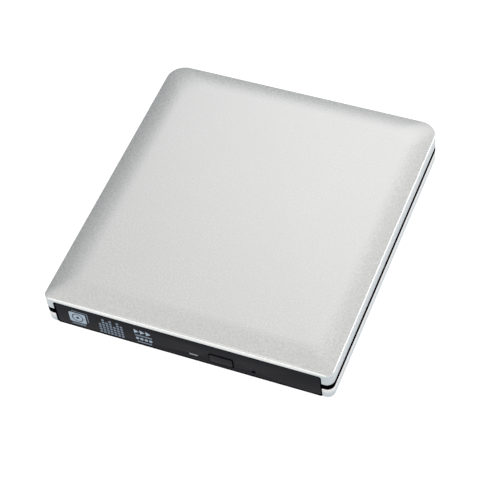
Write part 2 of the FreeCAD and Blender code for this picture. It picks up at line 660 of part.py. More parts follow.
def eject_button():
    front = BEZEL_FRONT - BUTTON_PROUD
    cap = front_slab(BUTTON_X - BUTTON_W / 2, BUTTON_X + BUTTON_W / 2, BUTTON_Z - BUTTON_H / 2,
                     BUTTON_Z + BUTTON_H / 2, front, -71.4, 0.6)
    flange = front_slab(BUTTON_X - BUTTON_W / 2 - 1, BUTTON_X + BUTTON_W / 2 + 1, BUTTON_Z - BUTTON_H / 2 - 0.9,
                        BUTTON_Z + BUTTON_H / 2 + 0.9, -71.5, -70.9, 0.6)
    stem = box(BUTTON_X - 1.5, BUTTON_X + 1.5, -71, -67.2, 6.6, 8.2)
    return fused([cap, flange, stem])


def led_window():
    """A clear light pipe from the lamp on the button board to the bezel's face."""
    lens = front_slab(LIGHT_X - LIGHT_W / 2, LIGHT_X + LIGHT_W / 2, LIGHT_Z - LIGHT_H / 2,
                      LIGHT_Z + LIGHT_H / 2, BEZEL_FRONT - 0.1, -71.2, 0.3)
    flange = box(LIGHT_X - 2.8, LIGHT_X + 2.8, -71.7, -71.1, LIGHT_Z - 1.2, LIGHT_Z + 1.2)
    pipe = box(LIGHT_X - 1.4, LIGHT_X + 1.4, -71.2, -66.8, 6.2, 7.2)
    return fused([lens, flange, pipe])


def trim_screw_points():
    return [(30, 14.4), (50, 14.4), (30, -14.4), (50, -14.4), (-18.5, 0)]


def trim_plate():
    z0, z1 = TRIM_Z - CUT, SMALL_WELL_Z + CUT
    plate = trim_outline(19.35, 60.25, 15.35, TRIM_Z, SMALL_WELL_Z)
    slot = box(TURNTABLE_R, 58.9, -7, 7, z0, z1)
    holes = [post(u, v, z0, z1, hole_r(TRIM_SCREW, TIGHT)) for u, v in trim_screw_points()]
    return on_traverse(plate.cut([post(0, 0, z0, z1, TURNTABLE_R + 1), slot] + holes))


def trim_screws():
    head_top = SMALL_WELL_Z + TRIM_SCREW[2]
    screws = [screw(u, v, head_top, DECK_Z + 0.1, *TRIM_SCREW) for u, v in trim_screw_points()]
    return on_traverse(Part.makeCompound(screws))


def tray_screws():
    tip = PILOT_TOP - 0.2
    board_head = BOARD_Z[0] - BOARD_SCREW[2]
    button_board_head = BUTTON_BOARD_Z[0] - BUTTON_BOARD_SCREW[2]
    screws = [screw(x, y, DAMPER_BOTTOM - DAMPER_SCREW[2], DECK_Z + 0.2, *DAMPER_SCREW) for x, y in damper_points()]
    screws += [screw(x, y, board_head, tip, *BOARD_SCREW) for x, y in BOARD_POSTS]
    screws += [screw(x, y, button_board_head, tip, *BUTTON_BOARD_SCREW) for x, y in BUTTON_BOARD_POSTS]
    return Part.makeCompound(screws)


# ---------------------------------------------------------------- traverse

def traverse_frame():
    z0, z1 = PLATE_Z
    plate = slab(PLATE_U[0], PLATE_U[1], -PLATE_V, PLATE_V, z0, z1, 3)
    lugs = []
    for u, v in DAMPERS_UV[2:]:
        lugs += [post(u, v, z0, z1, 4.2), box(u - 4.2, u + 4.2, min(v, 0), max(v, 0), z0, z1)]
    lugs.append(box(54.6, 58.6, SCREW_V - 2, 0, z0, z1))
    for u0, u1 in ROD_CLAMP_U:
        lugs += [box(u0, u1, s * ROD_V - 1.5, s * ROD_V + 1.5, 4.6, z0) for s in SIDES]
    bearing = box(56, 57.4, SCREW_V - 1.8, SCREW_V + 1.8, 4.4, z0)
    bracket = box(14.1, 14.9, SCREW_V - 2.3, -15.9, 4.0, z1)
    frame = plate.fuse(lugs + [bearing, bracket])
    removed = [post(0, 0, z0 - CUT, z1 + CUT, 13.4), box(12, 61, -12.2, 12.2, z0 - CUT, z1 + CUT),
               box(1, 14.1, -30, -15.9, z0 - CUT, z1 + CUT)]
    removed += [post(u, v, z0 - CUT, z1 + CUT, DAMPER_NECK_R + TIGHT) for u, v in DAMPERS_UV]
    removed += [rod(V(ROD_U[0], s * ROD_V, ROD_Z), V(ROD_U[1], s * ROD_V, ROD_Z), ROD_R) for s in SIDES]
    removed.append(rod(V(13, SCREW_V, ROD_Z), V(60, SCREW_V, ROD_Z), JOURNAL_R + 0.04))
    return on_traverse(frame.cut(removed))


def dampers():
    """Soft bushes that carry the traverse on the tray's posts."""
    rings = []
    for u, v in DAMPERS_UV:
        bush = fused([post(u, v, DAMPER_BOTTOM, PLATE_Z[0], DAMPER_R),
                      post(u, v, PLATE_Z[0], PLATE_Z[1], DAMPER_NECK_R),
                      post(u, v, PLATE_Z[1], DECK_Z, DAMPER_R)])
        rings.append(bush.cut(post(u, v, DAMPER_BOTTOM - CUT, DECK_Z + CUT, DAMPER_POST_R + TIGHT)))
    return on_traverse(Part.makeCompound(rings))


def guide_rods():
    rods = [rod(V(ROD_U[0], s * ROD_V, ROD_Z), V(ROD_U[1], s * ROD_V, ROD_Z), ROD_R) for s in SIDES]
    return on_traverse(Part.makeCompound(rods))


def lead_screw():
    """A shaft with a threaded middle. The thread is a row of rings, so it may turn to any angle."""
    profile = [V(JOURNAL_U[0], 0, 0), V(JOURNAL_U[0], JOURNAL_R, 0), V(SCREW_U[0], JOURNAL_R, 0)]
    count = int((SCREW_U[1] - SCREW_U[0]) / THREAD_STEP)
    for i in range(count):
        u = SCREW_U[0] + i * THREAD_STEP
        profile += [V(u, SCREW_R - THREAD_DEPTH, 0), V(u + THREAD_STEP * 0.3, SCREW_R, 0),
                    V(u + THREAD_STEP * 0.7, SCREW_R, 0)]
    end = SCREW_U[0] + count * THREAD_STEP
    profile += [V(end, SCREW_R - THREAD_DEPTH, 0), V(end, JOURNAL_R, 0), V(JOURNAL_U[1], JOURNAL_R, 0),
                V(JOURNAL_U[1], 0, 0), V(JOURNAL_U[0], 0, 0)]
    shaft = Part.Face(Part.makePolygon(profile)).revolve(V(0, 0, 0), X_AXIS, 360)
    return on_traverse(shaft.translated(V(0, SCREW_V, ROD_Z)))


def stepper_motor():
    can = rod(V(2, SCREW_V, ROD_Z), V(14, SCREW_V, ROD_Z), 2.3)
    groove = rod(V(7.8, SCREW_V, ROD_Z), V(8.2, SCREW_V, ROD_Z), 3).cut(
        rod(V(7.8, SCREW_V, ROD_Z), V(8.2, SCREW_V, ROD_Z), 2.15))
    bore = rod(V(7, SCREW_V, ROD_Z), V(14, SCREW_V, ROD_Z), JOURNAL_R + 0.04)
    return on_traverse(can.cut([groove, bore]))


def motor_base():
    """Stator and bearing of the spindle motor, hung under the traverse frame by three ears."""
    body = [post(0, 0, 4.2, 5.0, 12.5), post(0, 0, 5.0, 8.8, MOTOR_R)]
    for angle in (95, 180, 265):
        arm = box(0, 15.5, -1.8, 1.8, 6.8, PLATE_Z[0]).fuse(post(15.5, 0, 6.8, PLATE_Z[0], 1.8))
        body.append(arm.rotated(V(0, 0, 0), Z_AXIS, angle))
    bearing = tube(0, 0, 4.7, 9.0, 2.2, SHAFT_R + 0.04)
    windings = tube(0, 0, 7.7, 9.0, 9.5, 3.2)
    base = fused(body).cut([post(0, 0, 4.7, 9.0, SHAFT_R + 0.04), windings])
    return on_traverse(base.fuse(bearing))


def rotor_cup():
    cup = post(0, 0, CUP_Z[0], CUP_Z[1], CUP_R).cut(post(0, 0, CUP_Z[0] - 1, CUP_Z[1] - 0.6, CUP_R - 0.8))
    shaft = post(0, 0, 4.8, CUP_Z[1], SHAFT_R)
    return on_traverse(cup.fuse(shaft).removeSplitter())


def turntable():
    disc = post(0, 0, TURNTABLE_Z[0], TURNTABLE_Z[1], TURNTABLE_R)
    hub = post(0, 0, HUB_Z[0], HUB_Z[1], HUB_R)
    tip = Part.makeCone(HUB_R, HUB_R - 0.5, HUB_TOP - HUB_Z[1], V(0, 0, HUB_Z[1]))
    slots = [box(2.6, 9, -1.3, 1.3, HUB_Z[0] + 0.2, HUB_TOP + 1).rotated(V(0, 0, 0), Z_AXIS, a) for a in CLAW_ANGLES]
    dimple = post(0, 0, HUB_TOP - 0.4, HUB_TOP + 1, 1.6)
    return on_traverse(fused([disc, hub, tip]).cut(slots + [dimple]))


def turntable_ring():
    return on_traverse(tube(0, 0, TURNTABLE_Z[1], TURNTABLE_Z[1] + 0.3, 13.6, 11.6))


def disc_claw(angle):
    """A sprung claw that lies in a slot of the hub, with a nose that holds the disc down."""
    body = box(3.4, 7.2, -1.2, 1.2, HUB_Z[0] + 0.25, 13.2)
    nose = prism([(7.2, 12.75), (7.6, 12.9), (7.2, 13.2)], -1.2, 1.2).rotated(V(0, 0, 0), X_AXIS, 90)
    return on_traverse(fused([body, nose]).rotated(V(0, 0, 0), Z_AXIS, angle))


def pickup_sled():
    z0, z1 = SLED_Z
    base = box(10.3, 28, -13.2, 13.2, z0, z1)
    raised = box(14.5, 28, -11.5, 11.5, z1, 8.2)
    bush = box(13, 25, 12, 16.4, z0, z1)
    slotted = box(16, 24, -16.8, -12, z0, z1)
    follower = box(18, 22, SCREW_V + SCREW_R + 0.05, -16.7, ROD_Z - 0.5, ROD_Z + 0.5)
    body = base.fuse([raised, bush, slotted, follower])
    removed = [post(0, 0, 0, 20, SLED_NOTCH_R),
               rod(V(0, ROD_V, ROD_Z), V(40, ROD_V, ROD_Z), ROD_R + 0.05),
               box(0, 40, -16.0, -13.0, ROD_Z - ROD_R - 0.05, ROD_Z + ROD_R + 0.05),
               box(18, 29, -8, 8, 6.8, 9)]
    return on_traverse(body.cut(removed))


def pickup_cover():
    sheet = box(15, 27.8, -11.3, 11.3, 8.2, 8.5)
    return on_traverse(sheet.cut([post(0, 0, 8, 9, SLED_NOTCH_R + 0.1), box(18.4, 29, -7, 7, 8, 9)]))


def lens_holder():
    body = slab(20, 26.4, -4.5, 4.5, 7.4, 9.4, 1.2)
    return on_traverse(body.cut(post(LENS_U, 0, 8.9, 10, LENS_R)))


def lens():
    """A small lens: a flat disc under a domed top."""
    dome = Part.makeSphere(5.0, V(LENS_U, 0, 9.9 - 5.0))
    return on_traverse(post(LENS_U, 0, 8.9, 9.9, LENS_R).common(dome))


# ---------------------------------------------------------------- boards and latch on the tray

def main_board():
    board = slab(BOARD_X[0], BOARD_X[1], BOARD_Y[0], BOARD_Y[1], BOARD_Z[0], BOARD_Z[1], 2)
    hole = hole_r(BOARD_SCREW, FREE)
    return board.cut([post(x, y, BOARD_Z[0] - CUT, BOARD_Z[1] + CUT, hole) for x, y in BOARD_POSTS])


def board_chips():
    z1 = BOARD_Z[0]
    chips = [box(-16, -2, 25, 39, z1 - 1.1, z1), box(-36, -24, 24, 36, z1 - 1.1, z1),
             box(26, 33, 26, 36, z1 - 1.0, z1), slab(-46, -42, 30, 32.5, z1 - 1.2, z1, 1.1)]
    chips += [box(x, x + 1.6, 41.5, 42.4, z1 - 0.6, z1) for x in (-36, -33, -30, -27, -14, -11, -8, -5)]
    chips += [tube(x, 35, z1 - 1.5, z1, 1.5, 0.4) for x in (-49, -21)]
    return Part.makeCompound(chips)


def front_flex_connector():
    return box(CABLE_X[0] - 1, CABLE_X[1] + 1, 22, 26, BOARD_Z[0] - 1.4, BOARD_Z[0])


def flex_cable():
    return box(CABLE_X[0], CABLE_X[1], 26, 50.5, CABLE_Z[0], CABLE_Z[1])


def button_board():
    board = slab(0, 36, -66.8, -61.2, BUTTON_BOARD_Z[0], BUTTON_BOARD_Z[1], 1)
    z0, z1 = BUTTON_BOARD_Z[0] - CUT, BUTTON_BOARD_Z[1] + CUT
    return board.cut([post(x, y, z0, z1, hole_r(BUTTON_BOARD_SCREW, FREE)) for x, y in BUTTON_BOARD_POSTS])


def eject_switch():
    z0 = BUTTON_BOARD_Z[1]
    return fused([box(14, 20, -66, -62.5, z0, 8.8), box(16, 18, -66.5, -66, 6.8, 8.0)])


def status_led():
    return box(2, 5, -66.6, -64.4, BUTTON_BOARD_Z[1], 7.5)


def solenoid_body():
    """A yoke of folded steel round a coil, fixed under the tray's floor."""
    coil = box(14.2, 24.8, -60.2, -54.4, 4.2, 8.6)
    yoke = box(13, 26, -60.8, -53.8, 4.0, 8.9).cut(box(14, 25, -62, -52, 3, 8.8))
    roof = box(13, 26, -60.8, -53.8, 8.6, DECK_Z)
    bore = rod(V(12, CORE_Y, CORE_Z), V(27, CORE_Y, CORE_Z), CORE_R + 0.1)
    return fused([coil, yoke, roof]).cut(bore)


def solenoid_core():
    return rod(V(16, CORE_Y, CORE_Z), V(28.8, CORE_Y, CORE_Z), CORE_R)


def latch_lever():
    """A three-armed lever: a hook for the strike pin, and an arm for the solenoid and the emergency hole."""
    z0, z1 = LATCH_Z
    hook = prism([(2.2, 0.8), (8.9, -7.4), (8.6, -8.8), (5.0, -9.6), (-1.0, -2.2)], z0, z1)
    arm = prism([(-2.4, 0.8), (0.6, -2.4), (-7.6, -12.2), (-13.0, -12.2), (-13.0, -9.6)], z0, z1)
    hub = post(0, 0, z0, z1, LATCH_HUB_R)
    lever = fused([hub, hook.rotated(V(0, 0, 0), Z_AXIS, -LATCH_TURN), arm])
    bore = post(0, 0, z0 - CUT, z1 + CUT, LATCH_PIVOT_R + TIGHT)
    return lever.cut(bore).translated(V(LATCH_X, LATCH_Y, 0))


def latch_spring():
    """The outer form of the small torsion spring round the latch's boss."""
    return tube(LATCH_X, LATCH_Y, LATCH_Z[1] + 0.3, DECK_Z - 0.2, LATCH_BOSS_R + 0.9, LATCH_BOSS_R + 0.3)


# ---------------------------------------------------------------- the nodes

NODES = {
    "top_cover": top_cover,
    "bottom_cover": bottom_cover,
    "mid_frame": mid_frame,
    "rubber_feet": rubber_feet,
    "cover_screws": cover_screws,
    "foam_pads": foam_pads,
    "drive_lid": drive_lid,
    "drive_pan": drive_pan,
    "drive_screws": drive_screws,
    "lid_screws": lid_screws,
    "strike_pin": strike_pin,
    "eject_spring": eject_spring,
    "left_guide_rail": lambda: guide_rail(-1),
    "right_guide_rail": lambda: guide_rail(1),
    "left_mid_rail": lambda: mid_rail(-1),
    "right_mid_rail": lambda: mid_rail(1),
    "socket_board": socket_board,
    "drive_socket": drive_socket,
    "rear_flex_connector": rear_flex_connector,
    "bridge_board": bridge_board,
    "bridge_plug": bridge_plug,
    "bridge_chips": bridge_chips,
    "bridge_screws": bridge_screws,
    "port_shell": port_shell,
    "port_tongue": port_tongue,
    "tray": tray,
    "front_bezel": front_bezel,
    "eject_button": eject_button,
    "led_window": led_window,
    "trim_plate": trim_plate,
    "trim_screws": trim_screws,
    "tray_screws": tray_screws,
    "traverse_frame": traverse_frame,
    "dampers": dampers,
    "guide_rods": guide_rods,
    "lead_screw": lead_screw,
    "stepper_motor": stepper_motor,
    "motor_base": motor_base,
    "rotor_cup": rotor_cup,
    "turntable": turntable,
    "turntable_ring": turntable_ring,
    "pickup_sled": pickup_sled,
    "pickup_cover": pickup_cover,
    "lens_holder": lens_holder,
    "lens": lens,
    "main_board": main_board,
    "board_chips": board_chips,
    "front_flex_connector": front_flex_connector,
    "flex_cable": flex_cable,
    "button_board": button_board,
    "eject_switch": eject_switch,
    "status_led": status_led,
    "solenoid_body": solenoid_body,
    "solenoid_core": solenoid_core,
    "latch_lever": latch_lever,
    "latch_spring": latch_spring,
}
for number, claw_angle in enumerate(CLAW_ANGLES, 1):
    NODES[f"disc_claw_{number}"] = lambda angle=claw_angle: disc_claw(angle)

ENCLOSURE_NODES = ("top_cover", "bottom_cover", "mid_frame", "rubber_feet", "cover_screws")

os.makedirs("parts", exist_ok=True)
for name, make in NODES.items():
    shape = make()
    if name not in ENCLOSURE_NODES:
        shape = shape.translated(V(0, DRIVE_SHIFT, 0))
    shape.exportStep(f"parts/{name}.step")
    limits = shape.BoundBox
    print(f"{name}: {len(shape.Solids)} solids, valid {shape.isValid()}, volume {shape.Volume:.1f},",
          f"z {limits.ZMin:.2f} to {limits.ZMax:.2f}")
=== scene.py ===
import json
import math
import bmesh
import bpy
from mathutils import Matrix, Vector


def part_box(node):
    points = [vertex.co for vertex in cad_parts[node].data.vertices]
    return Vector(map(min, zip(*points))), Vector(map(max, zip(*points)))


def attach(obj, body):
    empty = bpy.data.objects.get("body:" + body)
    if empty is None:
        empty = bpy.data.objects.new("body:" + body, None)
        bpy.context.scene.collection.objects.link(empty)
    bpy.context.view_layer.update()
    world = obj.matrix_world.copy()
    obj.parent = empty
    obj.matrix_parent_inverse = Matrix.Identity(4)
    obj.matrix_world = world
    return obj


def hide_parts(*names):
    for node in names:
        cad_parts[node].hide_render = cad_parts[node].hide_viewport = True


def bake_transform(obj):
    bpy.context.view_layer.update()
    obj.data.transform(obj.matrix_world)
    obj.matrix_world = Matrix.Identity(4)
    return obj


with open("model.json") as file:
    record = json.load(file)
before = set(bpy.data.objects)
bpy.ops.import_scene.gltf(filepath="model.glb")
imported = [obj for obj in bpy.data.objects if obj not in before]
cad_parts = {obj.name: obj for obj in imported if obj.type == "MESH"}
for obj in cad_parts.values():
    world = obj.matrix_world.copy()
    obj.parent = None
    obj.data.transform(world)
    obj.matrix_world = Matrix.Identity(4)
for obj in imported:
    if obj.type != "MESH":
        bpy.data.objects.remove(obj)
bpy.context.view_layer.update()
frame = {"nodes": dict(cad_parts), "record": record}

MM = 0.001
scene = bpy.context.scene
record = frame["record"]
SLOT_OF = {part["node"]: part["material_slot"] for part in record["subparts"]}
BODY_OF = {node: body for body, nodes in record["behaviour"]["bodies"].items() for node in nodes}

# Where a colour Mix node keeps its sockets
MIX_SHARE = 0
MIX_FIRST = 6
MIX_SECOND = 7
MIX_RESULT = 2


# ------------------------------------------------------------------ material helpers

class Graph:
    """A material's node tree, with short ways to add and wire nodes."""

    def __init__(self, name):
        self.material = bpy.data.materials.new(name)
        self.material.use_nodes = True
        self.nodes = self.material.node_tree.nodes
        self.links = self.material.node_tree.links
        self.shader = self.nodes["Principled BSDF"]
        self.place = self.nodes.new("ShaderNodeTexCoord").outputs["Object"]

    def put(self, socket, value):
        """Wires the socket to another node's output, or gives it a plain value or a colour."""
        if isinstance(value, bpy.types.NodeSocket):
            self.links.new(value, socket)
        elif socket.type == "RGBA":
            socket.default_value = (*value, 1.0)
        else:
            socket.default_value = value

    def scaled(self, stretch=(1, 1, 1), turn=0.0):
        """The object's own coordinates, stretched and turned about Z."""
        node = self.nodes.new("ShaderNodeMapping")
        self.put(node.inputs["Vector"], self.place)
        node.inputs["Scale"].default_value = stretch
        node.inputs["Rotation"].default_value = (0, 0, turn)
        return node.outputs["Vector"]

    def upness(self):
        """How far the surface faces up: 0 on a wall, 1 on a level top."""
        split = self.nodes.new("ShaderNodeSeparateXYZ")
        self.put(split.inputs[0], self.nodes.new("ShaderNodeNewGeometry").outputs["Normal"])
        return split.outputs["Z"]

    def noise(self, size, detail=3.0, rough=0.5, stretch=(1, 1, 1)):
        """Noise whose blobs are about this many mm across."""
        node = self.nodes.new("ShaderNodeTexNoise")
        self.put(node.inputs["Vector"], self.scaled(stretch))
        node.inputs["Scale"].default_value = 1 / (size * MM)
        node.inputs["Detail"].default_value = detail
        node.inputs["Roughness"].default_value = rough
        return node.outputs["Fac"]

    def cells(self, size):
        """How far away the nearest of many scattered points is. They are about this many mm apart."""
        node = self.nodes.new("ShaderNodeTexVoronoi")
        self.put(node.inputs["Vector"], self.scaled())
        node.inputs["Scale"].default_value = 1 / (size * MM)
        return node.outputs["Distance"]

    def waves(self, step, axis="X", distortion=0.0):
        """Parallel lines, this many mm apart."""
        waves_per_scale = 20 / math.tau
        node = self.nodes.new("ShaderNodeTexWave")
        node.bands_direction = axis
        self.put(node.inputs["Vector"], self.scaled())
        node.inputs["Scale"].default_value = 1 / (waves_per_scale * step * MM)
        node.inputs["Distortion"].default_value = distortion
        return node.outputs["Fac"]

    def span(self, value, low, high, start=0.0, end=1.0):
        """value carried from start..end to low..high."""
        node = self.nodes.new("ShaderNodeMapRange")
        self.put(node.inputs["Value"], value)
        node.inputs["From Min"].default_value = start
        node.inputs["From Max"].default_value = end
        node.inputs["To Min"].default_value = low
        node.inputs["To Max"].default_value = high
        return node.outputs["Result"]

    def mix(self, share, first, second):
        """A colour between first and second, at this share of the way."""
        node = self.nodes.new("ShaderNodeMix")
        node.data_type = "RGBA"
        self.put(node.inputs[MIX_SHARE], share)
        self.put(node.inputs[MIX_FIRST], first)
        self.put(node.inputs[MIX_SECOND], second)
        return node.outputs[MIX_RESULT]

    def bump(self, height, depth):
        """A bump this many mm deep."""
        node = self.nodes.new("ShaderNodeBump")
        self.put(node.inputs["Height"], height)
        node.inputs["Distance"].default_value = depth * MM
        return node.outputs["Normal"]

    def done(self, **values):
        """Sets the shader's inputs, named with underscores for spaces."""
        for key, value in values.items():
            self.put(self.shader.inputs[key.replace("_", " ")], value)
        return self.material


TIN = (0.62, 0.63, 0.6)
TINNED_COPPER = (0.6, 0.61, 0.62)


def shade(colour, factor):
    """The colour made darker or lighter by a factor."""
    return tuple(min(1.0, c * factor) for c in colour)


def blasted(name, colour, rough, grain, depth, spread=0.05, wall_shade=None):
    """Blasted or cast metal: a fine even grain under slow changes of tone. Upright walls may get painted
    shade, wall_shade: a darker colour that stands in for their dimmer reflections."""
    g = Graph(name)
    fine = g.noise(grain, 2, 0.5)
    slow = g.noise(22, 2)
    tone = g.mix(g.span(fine, 0, 1, 0.38, 0.62), shade(colour, 1 - spread), shade(colour, 1 + spread))
    tone = g.mix(g.span(slow, 0, 0.35, 0.3, 0.7), tone, shade(colour, 0.97))
    # Painted shade: surfaces turned sideways take the darker wall colour instead of the metal's own
    if wall_shade:
        tone = g.mix(g.span(g.upness(), 0, 1, 0.02, 0.14), wall_shade, tone)
    sheen = g.span(fine, rough - 0.04, rough + 0.04, 0.3, 0.7)
    return g.done(Base_Color=tone, Metallic=1.0, Roughness=sheen, Normal=g.bump(fine, depth))


def rolled(name, colour, rough, along="Y", depth=0.004, spangle=0.0):
    """Sheet or drawn steel: long fine grain along one axis, with faint plating patches."""
    g = Graph(name)
    stretch = {"X": (0.04, 1, 1), "Y": (1, 0.04, 1), "Z": (1, 1, 0.04)}[along]
    grain = g.noise(0.35, 3, 0.6, stretch)
    patch = g.cells(6.0) if spangle else g.noise(9, 2)
    tone = g.mix(g.span(grain, 0, 1, 0.25, 0.75), shade(colour, 0.88), shade(colour, 1.08))
    tone = g.mix(g.span(patch, 0, 0.25 + spangle, 0.2, 0.8), tone, shade(colour, 0.8))
    sheen = g.span(patch, rough - 0.05, rough + 0.08, 0.2, 0.8)
    return g.done(Base_Color=tone, Metallic=1.0, Roughness=sheen, Normal=g.bump(grain, depth))


def plastic(name, colour, rough, grain=0.35, depth=0.006, level=0.5):
    """Moulded plastic: a spark-eroded grain, slow changes of sheen and a trace of dust."""
    g = Graph(name)
    fine = g.noise(grain, 3, 0.6)
    slow = g.noise(14, 3)
    tone = g.mix(g.span(slow, 0, 1, 0.3, 0.7), shade(colour, 0.88), shade(colour, 1.12))
    dusty = g.mix(g.span(g.noise(0.9, 2), 0, 0.12, 0.62, 0.75), tone, shade(colour, 1.8))
    sheen = g.span(slow, rough - 0.05, rough + 0.06, 0.3, 0.7)
    return g.done(Base_Color=dusty, Roughness=sheen, Specular_IOR_Level=level, Normal=g.bump(fine, depth))


def circuit(name, colour):
    """A printed board: solder mask with tracks under it, and tinned pads."""
    g = Graph(name)
    track_step = 3.4
    brick = g.nodes.new("ShaderNodeTexBrick")
    g.put(brick.inputs["Vector"], g.scaled(turn=math.radians(45)))
    brick.inputs["Scale"].default_value = 1 / (track_step * MM)
    brick.inputs["Mortar Size"].default_value = 0.07
    brick.offset = 0.35
    tracks = g.span(brick.outputs["Fac"], 0, 1)
    lines = g.span(g.waves(0.9), 0, 0.6, 0.72, 0.8)
    mask = g.mix(tracks, colour, shade(colour, 1.9))
    mask = g.mix(lines, mask, shade(colour, 1.5))
    pads = g.span(g.cells(1.9), 1, 0, 0.14, 0.19)
    tone = g.mix(pads, mask, TIN)
    height = g.nodes.new("ShaderNodeMath")
    height.operation = "MAXIMUM"
    g.put(height.inputs[0], tracks)
    g.put(height.inputs[1], pads)
    return g.done(Base_Color=tone, Roughness=g.span(pads, 0.38, 0.25), Metallic=g.span(pads, 0, 0.9),
                  Normal=g.bump(height.outputs[0], 0.03))


def chip(name, colour):
    """A moulded package: matte, with a polished ejector mark here and there."""
    g = Graph(name)
    fine = g.noise(0.12, 2)
    mark = g.span(g.cells(5.0), 1, 0, 0.12, 0.15)
    tone = g.mix(mark, colour, shade(colour, 1.6))
    return g.done(Base_Color=tone, Roughness=g.span(mark, 0.62, 0.35), Normal=g.bump(fine, 0.01))


def sponge(name, colour):
    """Foam: pale cell walls round pores darkened with painted shade."""
    g = Graph(name)
    pores = g.cells(0.8)
    # Painted shade in the pores: the colour falls far below the foam's own there
    tone = g.mix(g.span(pores, 0, 1, 0.1, 0.7), shade(colour, 1.3), shade(colour, 0.35))
    return g.done(Base_Color=tone, Roughness=0.95, Specular_IOR_Level=0.2, Normal=g.bump(pores, 0.4))


def rubber(name, colour):
    """Moulded rubber with a little dust in its grain."""
    g = Graph(name)
    fine = g.noise(0.25, 4, 0.7)
    dust = g.span(g.noise(3, 4, 0.7), 0, 0.4, 0.5, 0.75)
    tone = g.mix(dust, colour, shade(colour, 2.2))
    return g.done(Base_Color=tone, Roughness=g.span(fine, 0.68, 0.85), Specular_IOR_Level=0.3,
                  Normal=g.bump(fine, 0.02))


def turned(name, colour, rough, step):
    """Turned or ground metal: fine rings, stacked along Z this many mm apart."""
    g = Graph(name)
    rings = g.waves(step, "Z", distortion=0.4)
    slow = g.noise(4, 2)
    tone = g.mix(rings, shade(colour, 0.9), shade(colour, 1.06))
    sheen = g.span(slow, rough - 0.04, rough + 0.05, 0.3, 0.7)
    return g.done(Base_Color=tone, Metallic=1.0, Roughness=sheen, Normal=g.bump(rings, 0.004))


def clear(name, colour, rough, through):
    """A clear moulding or lens, with a faint cloud inside."""
    g = Graph(name)
    cloud = g.noise(1.2, 2)
    tone = g.mix(g.span(cloud, 0, 1, 0.3, 0.7), shade(colour, 0.9), shade(colour, 1.1))
    return g.done(Base_Color=tone, Roughness=rough, Transmission_Weight=through, IOR=1.5,
                  Normal=g.bump(cloud, 0.003), Coat_Weight=0.3)


def ribbon(name, colour):
    """A flat film cable: pale film over fine parallel conductors."""
    g = Graph(name)
    cores = g.waves(1.0)
    under = g.mix(g.span(cores, 0, 1, 0.45, 0.6), colour, TINNED_COPPER)
    return g.done(Base_Color=under, Roughness=g.span(cores, 0.35, 0.28), Coat_Weight=0.25,
                  Normal=g.bump(g.span(cores, 0, 1, 0.4, 0.6), 0.03))


def printed(name, colour):
    """Pad-printed ink, very slightly uneven."""
    g = Graph(name)
    cloud = g.noise(0.5, 3)
    tone = g.mix(g.span(cloud, 0, 1, 0.3, 0.7), shade(colour, 0.85), shade(colour, 1.1))
    return g.done(Base_Color=tone, Roughness=0.55, Normal=g.bump(cloud, 0.004))


BASE = {entry["slot"]: tuple(entry["base_color"][:3]) for entry in record["materials"]}
ALUMINIUM = (0.669, 0.671, 0.662)
# Painted shade for the shell's upright walls, darker and bluer than the metal
WALL_SHADE_TONE = (0.44, 0.485, 0.51)
CHARCOAL = (0.011, 0.0112, 0.0138)
BAND_BLACK = (0.001, 0.001, 0.0018)
TRAY_BLACK = (0.024, 0.024, 0.026)
WINDOW_GREY = (0.14, 0.15, 0.16)
LENS_BLUE = (0.45, 0.62, 0.95)
INK_PALE = (0.27, 0.34, 0.42)
INK_DIM = (0.115, 0.155, 0.21)

